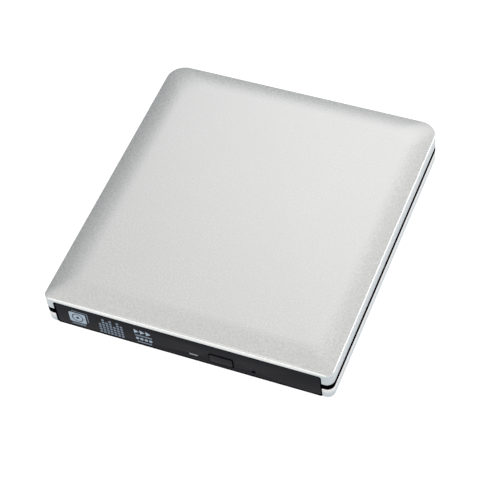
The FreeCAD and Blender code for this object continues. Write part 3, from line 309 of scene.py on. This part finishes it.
MATERIALS = {
    "shell_aluminium": blasted("shell_aluminium", ALUMINIUM, 0.3, 0.85, 0.0005, 0.07, WALL_SHADE_TONE),
    "black_plastic": plastic("black_plastic", BAND_BLACK, 0.85, 0.4, 0.01, 0.0),
    "foot_rubber": rubber("foot_rubber", BASE["foot_rubber"]),
    "damper_rubber": rubber("damper_rubber", BASE["damper_rubber"]),
    "foam": sponge("foam", BASE["foam"]),
    "zinc_steel": rolled("zinc_steel", BASE["zinc_steel"], 0.34, "Y", 0.004, 0.3),
    "rail_steel": rolled("rail_steel", BASE["rail_steel"], 0.28, "Y"),
    "traverse_steel": rolled("traverse_steel", BASE["traverse_steel"], 0.33, "X"),
    "rod_steel": turned("rod_steel", BASE["rod_steel"], 0.14, 0.3),
    "screw_steel": turned("screw_steel", BASE["screw_steel"], 0.24, 0.25),
    "screw_black": blasted("screw_black", BASE["screw_black"], 0.42, 0.3, 0.01),
    "spring_steel": turned("spring_steel", BASE["spring_steel"], 0.22, 0.4),
    "port_steel": rolled("port_steel", BASE["port_steel"], 0.24, "Y"),
    "motor_steel": turned("motor_steel", BASE["motor_steel"], 0.27, 0.35),
    "solenoid_steel": rolled("solenoid_steel", BASE["solenoid_steel"], 0.36, "X"),
    "board_green": circuit("board_green", BASE["board_green"]),
    "connector_black": plastic("connector_black", BASE["connector_black"], 0.5, 0.3, 0.01),
    "connector_cream": plastic("connector_cream", BASE["connector_cream"], 0.52, 0.3, 0.01),
    "chip_black": chip("chip_black", BASE["chip_black"]),
    "tray_black": plastic("tray_black", TRAY_BLACK, 0.52, 0.45, 0.018),
    "trim_black": blasted("trim_black", BASE["trim_black"], 0.5, 0.4, 0.012, 0.15),
    "bezel_charcoal": plastic("bezel_charcoal", CHARCOAL, 0.55, 0.4, 0.008, 0.05),
    "button_charcoal": plastic("button_charcoal", shade(CHARCOAL, 1.05), 0.5, 0.4, 0.006, 0.08),
    "light_window": clear("light_window", WINDOW_GREY, 0.35, 0.0),
    "led_clear": clear("led_clear", BASE["led_clear"], 0.12, 0.6),
    "turntable_grey": plastic("turntable_grey", BASE["turntable_grey"], 0.5, 0.3, 0.01),
    "claw_black": plastic("claw_black", BASE["claw_black"], 0.3, 0.2, 0.004),
    "pickup_zinc": blasted("pickup_zinc", BASE["pickup_zinc"], 0.42, 0.5, 0.03, 0.1),
    "pickup_cover_steel": rolled("pickup_cover_steel", shade(BASE["pickup_cover_steel"], 0.55), 0.36, "X"),
    "holder_black": plastic("holder_black", BASE["holder_black"], 0.48, 0.25, 0.01),
    "lens_glass": clear("lens_glass", LENS_BLUE, 0.04, 0.75),
    "flex_white": ribbon("flex_white", BASE["flex_white"]),
    "lever_white": plastic("lever_white", BASE["lever_white"], 0.45, 0.3, 0.008),
    "ink_pale": printed("ink_pale", INK_PALE),
    "ink_dim": printed("ink_dim", INK_DIM),
}


# ------------------------------------------------------------------ mesh helpers

SHARP_ANGLE = 40.0
SAME_POINT = 0.001
FLAT_ANGLE = 0.6


def piece_from(bm, name, slot, body, material=None, replaced=()):
    """Makes a piece from a mesh in millimetres: turns it to metres, gives it its material and ties it to
    its body, if it has one yet."""
    bmesh.ops.scale(bm, vec=(MM, MM, MM), verts=bm.verts)
    bmesh.ops.recalc_face_normals(bm, faces=bm.faces)
    mesh = bpy.data.meshes.new(name)
    bm.to_mesh(mesh)
    bm.free()
    piece = bpy.data.objects.new(name, mesh)
    scene.collection.objects.link(piece)
    mesh.materials.append(MATERIALS[material or slot])
    if body:
        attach(piece, body)
    if replaced:
        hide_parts(*replaced)
    return piece


def apply_modifiers(piece):
    """Turns the piece's modifiers into its mesh."""
    graph = bpy.context.evaluated_depsgraph_get()
    made = bpy.data.meshes.new_from_object(piece.evaluated_get(graph))
    piece.modifiers.clear()
    piece.data = made


def soften(piece, width, angle=35.0, steps=2):
    """Rounds the piece's edges and smooths its curved faces."""
    bevel = piece.modifiers.new("edges", "BEVEL")
    bevel.width = width * MM
    bevel.segments = steps
    bevel.limit_method = "ANGLE"
    bevel.angle_limit = math.radians(angle)
    bevel.use_clamp_overlap = True
    bevel.miter_outer = "MITER_ARC"
    apply_modifiers(piece)
    smooth_faces(piece)
    piece.data.set_sharp_from_angle(angle=math.radians(SHARP_ANGLE))


def smooth_faces(piece):
    for polygon in piece.data.polygons:
        polygon.use_smooth = True


def cut(piece, cutter):
    """Cuts the cutter's form out of the piece and removes the cutter."""
    modifier = piece.modifiers.new("cut", "BOOLEAN")
    modifier.operation = "DIFFERENCE"
    modifier.solver = "EXACT"
    modifier.object = cutter
    apply_modifiers(piece)
    bpy.data.objects.remove(cutter)


def refined(node, width):
    """Makes a copy of a CAD node with its flat faces joined and its edges rounded by width mm."""
    bm = bmesh.new()
    bm.from_mesh(frame["nodes"][node].data)
    bmesh.ops.scale(bm, vec=(1 / MM, 1 / MM, 1 / MM), verts=bm.verts)
    bmesh.ops.remove_doubles(bm, verts=bm.verts, dist=SAME_POINT)
    bmesh.ops.dissolve_limit(bm, angle_limit=math.radians(FLAT_ANGLE), verts=bm.verts, edges=bm.edges)
    piece = piece_from(bm, node + "_finished", SLOT_OF[node], BODY_OF[node], replaced=[node])
    soften(piece, width)


def bridge(bm, first, second):
    """Joins two closed rings of points with a band of faces."""
    for i in range(len(first)):
        j = (i + 1) % len(first)
        bm.faces.new((first[i], first[j], second[j], second[i]))


def skinned(bm, rings):
    """Joins each ring to the next one and closes both ends."""
    for ring, following in zip(rings, rings[1:]):
        bridge(bm, ring, following)
    bm.faces.new(rings[0])
    bm.faces.new(rings[-1][::-1])


def extruded(bm, points, y0, y1):
    """A flat outline in X and Z, drawn out between two depths in Y."""
    skinned(bm, [[bm.verts.new((x, y, z)) for x, z in points] for y in (y0, y1)])


def banded(bm, outer, inner, y0, y1):
    """A flat outline with a hole, drawn out between two depths in Y. Both outlines have as many points."""
    near_out, near_in, far_out, far_in = [
        [bm.verts.new((x, y, z)) for x, z in points] for y in (y0, y1) for points in (outer, inner)]
    for first, second in ((near_out, near_in), (near_in, far_in), (far_in, far_out), (far_out, near_out)):
        bridge(bm, first, second)


def rounded(x, z, half_x, half_z, radius, steps=6):
    """The outline of a rounded rectangle, as (x, z) points."""
    points = []
    for quarter, (sx, sz) in enumerate(((1, 1), (-1, 1), (-1, -1), (1, -1))):
        for i in range(steps + 1):
            angle = math.radians(90 * (quarter + i / steps))
            points.append((x + sx * (half_x - radius) + radius * math.cos(angle),
                           z + sz * (half_z - radius) + radius * math.sin(angle)))
    return points


def circle(x, z, radius, count=28, start=0.0):
    """The outline of a circle, as (x, z) points, the first one at the angle start."""
    angles = [start + math.tau * i / count for i in range(count)]
    return [(x + radius * math.cos(a), z + radius * math.sin(a)) for a in angles]


# ------------------------------------------------------------------ the upper shell

HALF_X = 70.0
HALF_Y = 76.5
BACK_CORNER_R = 9.0
FRONT_CORNER_R = 3.6
WALL = 1.2
SKIRT_BOTTOM = 12.6
MOUTH_X = 65.0
MOUTH_Z = (2.2, 17.8)
MOUTH_R = 1.3
MOUTH_MIDDLE_Z = (MOUTH_Z[0] + MOUTH_Z[1]) / 2
MOUTH_HALF_Z = (MOUTH_Z[1] - MOUTH_Z[0]) / 2
MOUTH_DEPTH = 3.0
PORT_Z = 10.7
PORT_HALF_X = 5.9
PORT_HALF_Z = 2.3
PORT_R = 0.5
PORT_DEPTH = 2.0
CUTTER_SPARE = 1.0
SHOULDER_Z = 19.5
TOP_Z = 21.3
CROWN_RUN = 14.0
SIDE_ROLL = 0.8
FRONT_ROLL = 0.75
FRONT_ROLL_TALL = 2.6
GROOVE_START = 0.7
GROOVE_STEEP = 0.9
GROOVE_SLOW = 6.0
GROOVE_DEPTH = 0.22
LIP_EVEN = 50.0
LIP_END = 69.0
EDGE_BREAK = 0.12
BAND_FACE_DEPTH = 0.45
INNER_ROLL = 0.15
WALL_END = 0.4
SHELL_EDGE_ANGLE = 50.0


def crown(run):
    """The height of the top's gentle curve, this far in from the edge."""
    return SHOULDER_Z + (TOP_Z - SHOULDER_Z) * (1 - (1 - min(run / CROWN_RUN, 1)) ** 2)


def perimeter(arc_steps=14, side_steps=28):
    """Columns round the shell: an arc's centre, its way outwards and its radius, then the column's
    outward direction and its share of the front lip."""
    corners = ((-1, -1, 180, FRONT_CORNER_R), (1, -1, 270, FRONT_CORNER_R),
               (1, 1, 0, BACK_CORNER_R), (-1, 1, 90, BACK_CORNER_R))
    columns = []
    for k, (sx, sy, start, radius) in enumerate(corners):
        here = Vector((sx * (HALF_X - radius), sy * (HALF_Y - radius), sx, sy, radius))
        for i in range(arc_steps + 1):
            angle = math.radians(start + 90 * i / arc_steps)
            columns.append((here, math.cos(angle), math.sin(angle)))
        nx, ny = columns[-1][1:]
        sx, sy, start, radius = corners[(k + 1) % 4]
        there = Vector((sx * (HALF_X - radius), sy * (HALF_Y - radius), sx, sy, radius))
        for i in range(1, side_steps):
            columns.append((here.lerp(there, i / side_steps), nx, ny))
    return [(place, nx, ny, lip_share(place, nx, ny)) for place, nx, ny in columns]


def lip_share(place, nx, ny):
    """1 along the front, falling to 0 as the front's rolled lip runs out round the corner."""
    faces_front = ny < -0.01 and place[1] < -HALF_Y / 2
    if not faces_front:
        return 0.0
    away = abs(place[0]) + FRONT_CORNER_R * math.asin(min(1, abs(nx)))
    return 1 - smooth((away - LIP_EVEN) / (LIP_END - LIP_EVEN))


def smooth(share):
    """0 to 1 with soft ends, as share runs from 0 to 1."""
    share = min(max(share, 0), 1)
    return share * share * (3 - 2 * share)


def groove(run):
    """How far the top lies lower behind the front lip: it falls steeply, and comes back up slowly."""
    fall = smooth((run - GROOVE_START) / GROOVE_STEEP)
    back_up = smooth((run - GROOVE_START - GROOVE_STEEP) / GROOVE_SLOW)
    return GROOVE_DEPTH * fall * (1 - back_up)


def section(roll, inward, depth=0.0, tall=1.0, arc_steps=8, groove_steps=12, crown_steps=8):
    """The shell's outer or inner profile as (run, z): up the wall, round the roll and over the crown.
    The roll is tall times as high as it is wide."""
    slope = 2 * (TOP_Z - SHOULDER_Z) / CROWN_RUN * (1 - roll / CROWN_RUN)
    end = math.atan2(tall, slope)
    centre_z = crown(roll * (1 - math.cos(end))) - tall * roll * math.sin(end)
    radius = max(roll - inward, INNER_ROLL)
    centre = max(roll, inward + radius)
    centre_z -= centre - roll
    rows = [(inward, SKIRT_BOTTOM), (inward, centre_z - WALL_END)]
    for i in range(arc_steps + 1):
        angle = end * i / arc_steps
        rows.append((centre - radius * math.cos(angle), centre_z + tall * radius * math.sin(angle)))
    last = rows[-1][0]
    groove_end = GROOVE_START + GROOVE_STEEP
    runs = [last + (groove_end - last) * i / groove_steps for i in range(1, groove_steps + 1)]
    runs += [groove_end + (CROWN_RUN - groove_end) * i / crown_steps for i in range(1, crown_steps + 1)]
    return rows + [(run, crown(run) - inward - depth * groove(run)) for run in runs]


def shell_mesh():
    """The upper shell before its openings: rings of points over its outside, then over its inside."""
    columns = perimeter()
    bm = bmesh.new()
    loops = []
    for inward in (0.0, WALL):
        side = section(SIDE_ROLL, inward)
        front = section(FRONT_ROLL, inward, 1.0, FRONT_ROLL_TALL)
        for (side_run, side_z), (front_run, front_z) in zip(side, front):
            loop = []
            for place, nx, ny, lip in columns:
                run = side_run + (front_run - side_run) * lip
                z = side_z + (front_z - side_z) * lip
                x = place[0] - place[2] * run + nx * place[4]
                y = place[1] - place[3] * run + ny * place[4]
                loop.append(bm.verts.new((x, y, z)))
            loops.append(loop)
    rows = len(loops) // 2
    for k in range(rows - 1):
        bridge(bm, loops[k], loops[k + 1])
        bridge(bm, loops[rows + k], loops[rows + k + 1])
    bridge(bm, loops[0], loops[rows])
    bm.faces.new(loops[rows - 1])
    bm.faces.new(loops[-1])
    return bm


def cut_outline(shell, name, outline, y0, y1):
    """Cuts a flat outline out of the shell between two depths in Y."""
    bm = bmesh.new()
    extruded(bm, outline, y0, y1)
    cut(shell, piece_from(bm, name, "shell_aluminium", "enclosure"))


def top_shell():
    """The upper shell with the bezel's mouth and the notch for a plug."""
    shell = piece_from(shell_mesh(), "top_shell", "shell_aluminium", "enclosure", replaced=["top_cover"])
    mouth = rounded(0, MOUTH_MIDDLE_Z, MOUTH_X, MOUTH_HALF_Z, MOUTH_R, 8)
    cut_outline(shell, "mouth_cutter", mouth, -HALF_Y - CUTTER_SPARE, -HALF_Y + MOUTH_DEPTH)
    port = rounded(0, PORT_Z, PORT_HALF_X, PORT_HALF_Z, PORT_R)
    cut_outline(shell, "port_cutter", port, HALF_Y - PORT_DEPTH, HALF_Y + CUTTER_SPARE)
    soften(shell, EDGE_BREAK, SHELL_EDGE_ANGLE)


top_shell()


# ------------------------------------------------------------------ the CAD's pieces with rounded edges

EDGE_WIDTHS = {
    "bottom_cover": 0.2, "mid_frame": 0.12, "front_bezel": 0.18, "eject_button": 0.2, "led_window": 0.1,
    "tray": 0.2, "trim_plate": 0.08, "drive_pan": 0.08, "drive_lid": 0.08, "turntable": 0.15,
    "disc_claw_1": 0.1, "disc_claw_2": 0.1, "disc_claw_3": 0.1, "traverse_frame": 0.08, "pickup_sled": 0.15,
    "pickup_cover": 0.05, "lens_holder": 0.12, "main_board": 0.05, "board_chips": 0.08, "latch_lever": 0.12,
    "port_shell": 0.06, "port_tongue": 0.08, "drive_socket": 0.12, "front_flex_connector": 0.12,
    "rear_flex_connector": 0.12, "left_mid_rail": 0.06, "right_mid_rail": 0.06, "left_guide_rail": 0.06,
    "right_guide_rail": 0.06, "solenoid_body": 0.1, "rubber_feet": 0.25, "eject_switch": 0.1,
    "status_led": 0.15, "button_board": 0.05, "bridge_board": 0.05, "bridge_chips": 0.06,
    "socket_board": 0.05,
}

for node, edge_width in EDGE_WIDTHS.items():
    refined(node, edge_width)


def bring_out_band(piece, reach=0.18):
    """Moves the band's face out by reach mm, almost flush with the shells, so that its full height
    shows."""
    for vertex in piece.data.vertices:
        x, y = vertex.co.x / MM, vertex.co.y / MM
        radius = FRONT_CORNER_R if y < 0 else BACK_CORNER_R
        out = Vector((math.copysign(max(abs(x) - HALF_X + radius, 0), x),
                      math.copysign(max(abs(y) - HALF_Y + radius, 0), y), 0))
        if out.length > radius - BAND_FACE_DEPTH:
            vertex.co += out.normalized() * reach * MM


bring_out_band(bpy.data.objects["mid_frame_finished"])


# ------------------------------------------------------------------ springs and ribbon

def cad_box(node):
    """A CAD node's lowest and highest corners in millimetres."""
    return (Vector(corner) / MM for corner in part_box(node))


def coil(node, axis, turns, wire, steps=20, wire_steps=8):
    """A wound spring in the room of the CAD's plain sleeve, along its axis 0, 1 or 2."""
    low, high = cad_box(node)
    first, second = (k for k in range(3) if k != axis)
    radius = (high[first] - low[first] - wire) / 2
    length = high[axis] - low[axis] - wire
    around_wire = [math.tau * k / wire_steps for k in range(wire_steps)]
    bm = bmesh.new()
    rings = []
    for i in range(turns * steps + 1):
        angle = math.tau * i / steps
        out, along = Vector((0, 0, 0)), Vector((0, 0, 0))
        out[first], out[second], along[axis] = math.cos(angle), math.sin(angle), 1
        centre = (low + high) / 2 + out * radius
        centre[axis] = low[axis] + wire / 2 + length * i / (turns * steps)
        rings.append([bm.verts.new(centre + (out * math.cos(t) + along * math.sin(t)) * wire / 2)
                      for t in around_wire])
    skinned(bm, rings)
    piece = piece_from(bm, node + "_wound", SLOT_OF[node], BODY_OF[node], replaced=[node])
    smooth_faces(piece)


def flat_cable(node, steps=48):
    """A straight film ribbon in the room of the CAD's cable, from the socket at its back end to the tray's
    board at its front end, in many short steps along Y. It is tied to no body."""
    low, high = cad_box(node)
    bm = bmesh.new()
    rings = []
    for i in range(steps + 1):
        y = high.y + (low.y - high.y) * i / steps
        corners = ((low.x, low.z), (high.x, low.z), (high.x, high.z), (low.x, high.z))
        rings.append([bm.verts.new((x, y, z)) for x, z in corners])
    skinned(bm, rings)
    piece = piece_from(bm, node + "_ribbon", SLOT_OF[node], None, replaced=[node])
    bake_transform(piece)


coil("eject_spring", 1, 7, 0.5)
coil("latch_spring", 2, 3, 0.4)
flat_cable("flex_cable")


# ------------------------------------------------------------------ marks on the bezel

# The ink lies between these depths in Y, just proud of the bezel's face
MARK_FRONT = -76.23
MARK_BACK = -76.1

DISC_MARK = (-53.8, 9.8)
CARD_HALF_X = 4.2
CARD_HALF_Z = 3.6
CARD_R = 0.9
DISC_R = 2.4
DISC_GAP_R = 2.9
DISC_HOLE_R = 0.8

# The second card's top and right edges and the bar below: each one's middle, measured from the disc's,
# its half sizes and its corner radius
DISC_BARS = ((1.4, 4.7, 3.9, 0.22, 0.15), (5.3, 1.4, 0.22, 3.2, 0.15), (0.0, -4.9, 3.4, 0.45, 0.2))

LEVEL_MARK = (-42.4, 4.5)
LEVEL_DOTS = (4, 6, 5, 6, 4, 6, 5)
LEVEL_STEP_X = 1.8
LEVEL_STEP_Z = 1.85
LEVEL_DOT_HALF = 0.62
LEVEL_DOT_R = 0.2

ARROW_X = -20.8
ARROW_Z = 12.4
ARROW_STEP = 2.9
ARROW_LENGTH = 2.5
ARROW_HALF_Z = 1.5
ARROWS_HALF_X = 4.3
DOTS = 4
DOT_Z = 7.1
DOT_STEP = 2.2
DOT_R = 0.85

# The bars over and under the dots: each one's height, its half sizes and its corner radius
ARROW_BARS = ((9.5, ARROWS_HALF_X, 0.5, 0.4), (4.6, 3.6, 0.4, 0.25))


def bar(bm, x, z, half_x, half_z, radius):
    """A small printed bar or dot with rounded corners."""
    extruded(bm, rounded(x, z, half_x, half_z, radius, 3), MARK_FRONT, MARK_BACK)


def disc_mark(pale, dim):
    """A disc on a card, with the edges of a second card behind it and a bar under it."""
    x, z = DISC_MARK
    card = rounded(x, z, CARD_HALF_X, CARD_HALF_Z, CARD_R)
    banded(pale, card, circle(x, z, DISC_GAP_R, len(card), math.radians(5)), MARK_FRONT, MARK_BACK)
    banded(pale, circle(x, z, DISC_R), circle(x, z, DISC_HOLE_R), MARK_FRONT, MARK_BACK)
    for across, up, half_x, half_z, radius in DISC_BARS:
        bar(dim, x + across, z + up, half_x, half_z, radius)


def level_mark(dim):
    """A level display: columns of small dots of different heights."""
    x, z = LEVEL_MARK
    for i, dots in enumerate(LEVEL_DOTS):
        for k in range(dots):
            bar(dim, x + LEVEL_STEP_X * i, z + LEVEL_STEP_Z * k, LEVEL_DOT_HALF, LEVEL_DOT_HALF, LEVEL_DOT_R)


def arrow_mark(pale, dim):
    """Three arrowheads over a bar, a row of dots and another bar."""
    for i in range(3):
        x = ARROW_X - ARROWS_HALF_X + ARROW_STEP * i
        head = [(x, ARROW_Z + ARROW_HALF_Z), (x + ARROW_LENGTH, ARROW_Z), (x, ARROW_Z - ARROW_HALF_Z)]
        extruded(pale, head, MARK_FRONT, MARK_BACK)
    for i in range(DOTS):
        dot = circle(ARROW_X + DOT_STEP * (i - (DOTS - 1) / 2), DOT_Z, DOT_R, 16)
        extruded(pale, dot, MARK_FRONT, MARK_BACK)
    for z, half_x, half_z, radius in ARROW_BARS:
        bar(dim, ARROW_X, z, half_x, half_z, radius)


def marks():
    """Three plain pictograms in pale and dim ink."""
    pale, dim = bmesh.new(), bmesh.new()
    disc_mark(pale, dim)
    level_mark(dim)
    arrow_mark(pale, dim)
    piece_from(pale, "marks_pale", "bezel_charcoal", "tray", "ink_pale")
    piece_from(dim, "marks_dim", "bezel_charcoal", "tray", "ink_dim")


# Painted shade: black rings laid into the gaps round the bezel and the button, and round the emergency hole
SEAM_CLEAR = 0.05
JOINT_SIDE = 0.75
JOINT_HEIGHT = 1.0
JOINT_DEPTH = 2.0
JOINT_SET_BACK = 0.02
GAP_PROUD = 0.15
BUTTON_AT = (17.05, 7.85)
BUTTON_GAP_OUT = (5.85, 3.25, 0.9)
BUTTON_GAP_IN = (5.2, 2.6, 0.6)
HOLE_AT = (32.5, 6.2)
HOLE_SHADE_R = 0.95
HOLE_R = 0.55


def painted_gap_shade():
    """Black rings of painted shade: in the bezel's joint with the shell, round the button's gap and round
    the emergency hole.
    """
    bm = bmesh.new()
    half_x, half_z, radius = (value - SEAM_CLEAR for value in (MOUTH_X, MOUTH_HALF_Z, MOUTH_R))
    joint_out = rounded(0, MOUTH_MIDDLE_Z, half_x, half_z, radius)
    joint_in = rounded(0, MOUTH_MIDDLE_Z, MOUTH_X - JOINT_SIDE, MOUTH_HALF_Z - JOINT_HEIGHT, MOUTH_R)
    banded(bm, joint_out, joint_in, MARK_FRONT + JOINT_SET_BACK, MARK_BACK + JOINT_DEPTH)
    gap_out = rounded(*BUTTON_AT, *BUTTON_GAP_OUT)
    gap_in = rounded(*BUTTON_AT, *BUTTON_GAP_IN)
    banded(bm, gap_out, gap_in, MARK_FRONT - GAP_PROUD, MARK_BACK)
    banded(bm, circle(*HOLE_AT, HOLE_SHADE_R), circle(*HOLE_AT, HOLE_R), MARK_FRONT, MARK_BACK)
    piece_from(bm, "painted_gap_shade", "black_plastic", "tray")


marks()
painted_gap_shade()


# ------------------------------------------------------------------ finishes on the CAD's own pieces

for node, piece in frame["nodes"].items():
    for material_slot in piece.material_slots:
        material_slot.material = MATERIALS[SLOT_OF[node]]


# ------------------------------------------------------------------ floor, light and camera

# Patches of light in the studio: azimuth, elevation, the cosine where the patch starts and the cosine where
# it is full, then its amount. The shady side's amount is taken away.
GLOW = (197.0, 44.7, 0.965, 0.994, 0.57)
FRONT_GLOW = (-21.0, 33.0, 0.8, 0.94, 0.75)
SHADY_SIDE = (242.0, -18.0, 0.22, 0.7, 0.46)
STUDIO_STRENGTH = 0.92
OPEN_COLOUR = (1.0, 0.996, 0.996, 1.0)
SHADY_COLOUR = (0.9, 1.0, 1.05, 1.0)

FLOOR_HALF = 6.0
FLOOR_TONES = ((0.39, 0.39, 0.39), (0.41, 0.41, 0.41))
FLOOR_GLOW = 0.8

SIDE_LIGHT_AT = (123.0, 20.0)
SIDE_LIGHT_DISTANCE = 1.3
SIDE_LIGHT_SIZE = (0.9, 0.25)
SIDE_LIGHT_POWER = 3.6

CAMERA_AT = (27.831, 51.838)
CAMERA_ROLL = -7.842
CAMERA_TARGET = (7.07, -15.63, 10.0)
CAMERA_DISTANCE = 790.13
CAMERA_LENS = 122.262
SENSOR_WIDTH = 36.0
CAMERA_REACH = 20.0


def direction(azimuth, elevation):
    """A unit vector towards this azimuth and elevation in degrees. Azimuth 0 is the front, 90 the right."""
    a, e = math.radians(azimuth), math.radians(elevation)
    return Vector((math.sin(a) * math.cos(e), -math.cos(a) * math.cos(e), math.sin(e)))


def stage_floor():
    """A plain pale floor with a glow of its own, so that shadows on it stay faint."""
    g = Graph("studio_floor")
    tone = g.mix(g.noise(60, 2), *FLOOR_TONES)
    white = (1, 1, 1)
    material = g.done(Base_Color=tone, Roughness=0.9, Emission_Color=white, Emission_Strength=FLOOR_GLOW)
    bm = bmesh.new()
    bmesh.ops.create_grid(bm, x_segments=2, y_segments=2, size=FLOOR_HALF)
    mesh = bpy.data.meshes.new("floor")
    bm.to_mesh(mesh)
    bm.free()
    floor = bpy.data.objects.new("floor", mesh)
    scene.collection.objects.link(floor)
    mesh.materials.append(material)


def side_light():
    """A long low soft light behind the object's right side."""
    way = direction(*SIDE_LIGHT_AT)
    data = bpy.data.lights.new("right", "AREA")
    data.shape = "RECTANGLE"
    data.size, data.size_y = SIDE_LIGHT_SIZE
    data.energy = SIDE_LIGHT_POWER
    light = bpy.data.objects.new("right", data)
    light.location = way * SIDE_LIGHT_DISTANCE
    light.rotation_euler = way.to_track_quat("Z", "Y").to_euler()
    scene.collection.objects.link(light)


def surroundings():
    """A bright studio, with a soft glow behind the object, one in front of it, and a shady side at the
    left."""
    world = bpy.data.worlds.new("studio")
    world.use_nodes = True
    scene.world = world
    nodes, links = world.node_tree.nodes, world.node_tree.links
    background = nodes["Background"]
    way = nodes.new("ShaderNodeTexCoord").outputs["Generated"]

    def patch(azimuth, elevation, start, full, amount):
        """A smooth round patch, from nothing at the cosine start to its amount at the cosine full."""
        dot = nodes.new("ShaderNodeVectorMath")
        dot.operation = "DOT_PRODUCT"
        links.new(way, dot.inputs[0])
        dot.inputs[1].default_value = direction(azimuth, elevation)
        ramp = nodes.new("ShaderNodeMapRange")
        ramp.interpolation_type = "SMOOTHSTEP"
        links.new(dot.outputs["Value"], ramp.inputs["Value"])
        ramp.inputs["From Min"].default_value = start
        ramp.inputs["From Max"].default_value = full
        ramp.inputs["To Max"].default_value = amount
        return ramp.outputs["Result"]

    def calculated(operation, first, second):
        node = nodes.new("ShaderNodeMath")
        node.operation = operation
        for socket, value in zip(node.inputs, (first, second)):
            if isinstance(value, float):
                socket.default_value = value
            else:
                links.new(value, socket)
        return node.outputs[0]

    shady = patch(*SHADY_SIDE)
    glows = calculated("ADD", patch(*GLOW), patch(*FRONT_GLOW))
    lit = calculated("SUBTRACT", calculated("ADD", STUDIO_STRENGTH, glows), shady)
    tint = nodes.new("ShaderNodeMix")
    tint.data_type = "RGBA"
    links.new(shady, tint.inputs[MIX_SHARE])
    tint.inputs[MIX_FIRST].default_value = OPEN_COLOUR
    tint.inputs[MIX_SECOND].default_value = SHADY_COLOUR
    links.new(tint.outputs[MIX_RESULT], background.inputs["Color"])
    links.new(lit, background.inputs["Strength"])


def make_camera():
    """A long lens at the right front, well above the object."""
    back = direction(*CAMERA_AT)
    roll = math.radians(CAMERA_ROLL)
    right = (-back).cross(Vector((0, 0, 1))).normalized()
    up = back.cross(right)
    turned_right = right * math.cos(roll) + up * math.sin(roll)
    turned_up = up * math.cos(roll) - right * math.sin(roll)
    data = bpy.data.cameras.new("camera")
    data.lens = CAMERA_LENS
    data.sensor_width = SENSOR_WIDTH
    data.clip_end = CAMERA_REACH
    camera = bpy.data.objects.new("camera", data)
    matrix = Matrix((turned_right, turned_up, back)).transposed().to_4x4()
    matrix.translation = (Vector(CAMERA_TARGET) + back * CAMERA_DISTANCE) * MM
    camera.matrix_world = matrix
    scene.collection.objects.link(camera)
    scene.camera = camera


scene.view_settings.view_transform = "Standard"
stage_floor()
side_light()
surroundings()
make_camera()
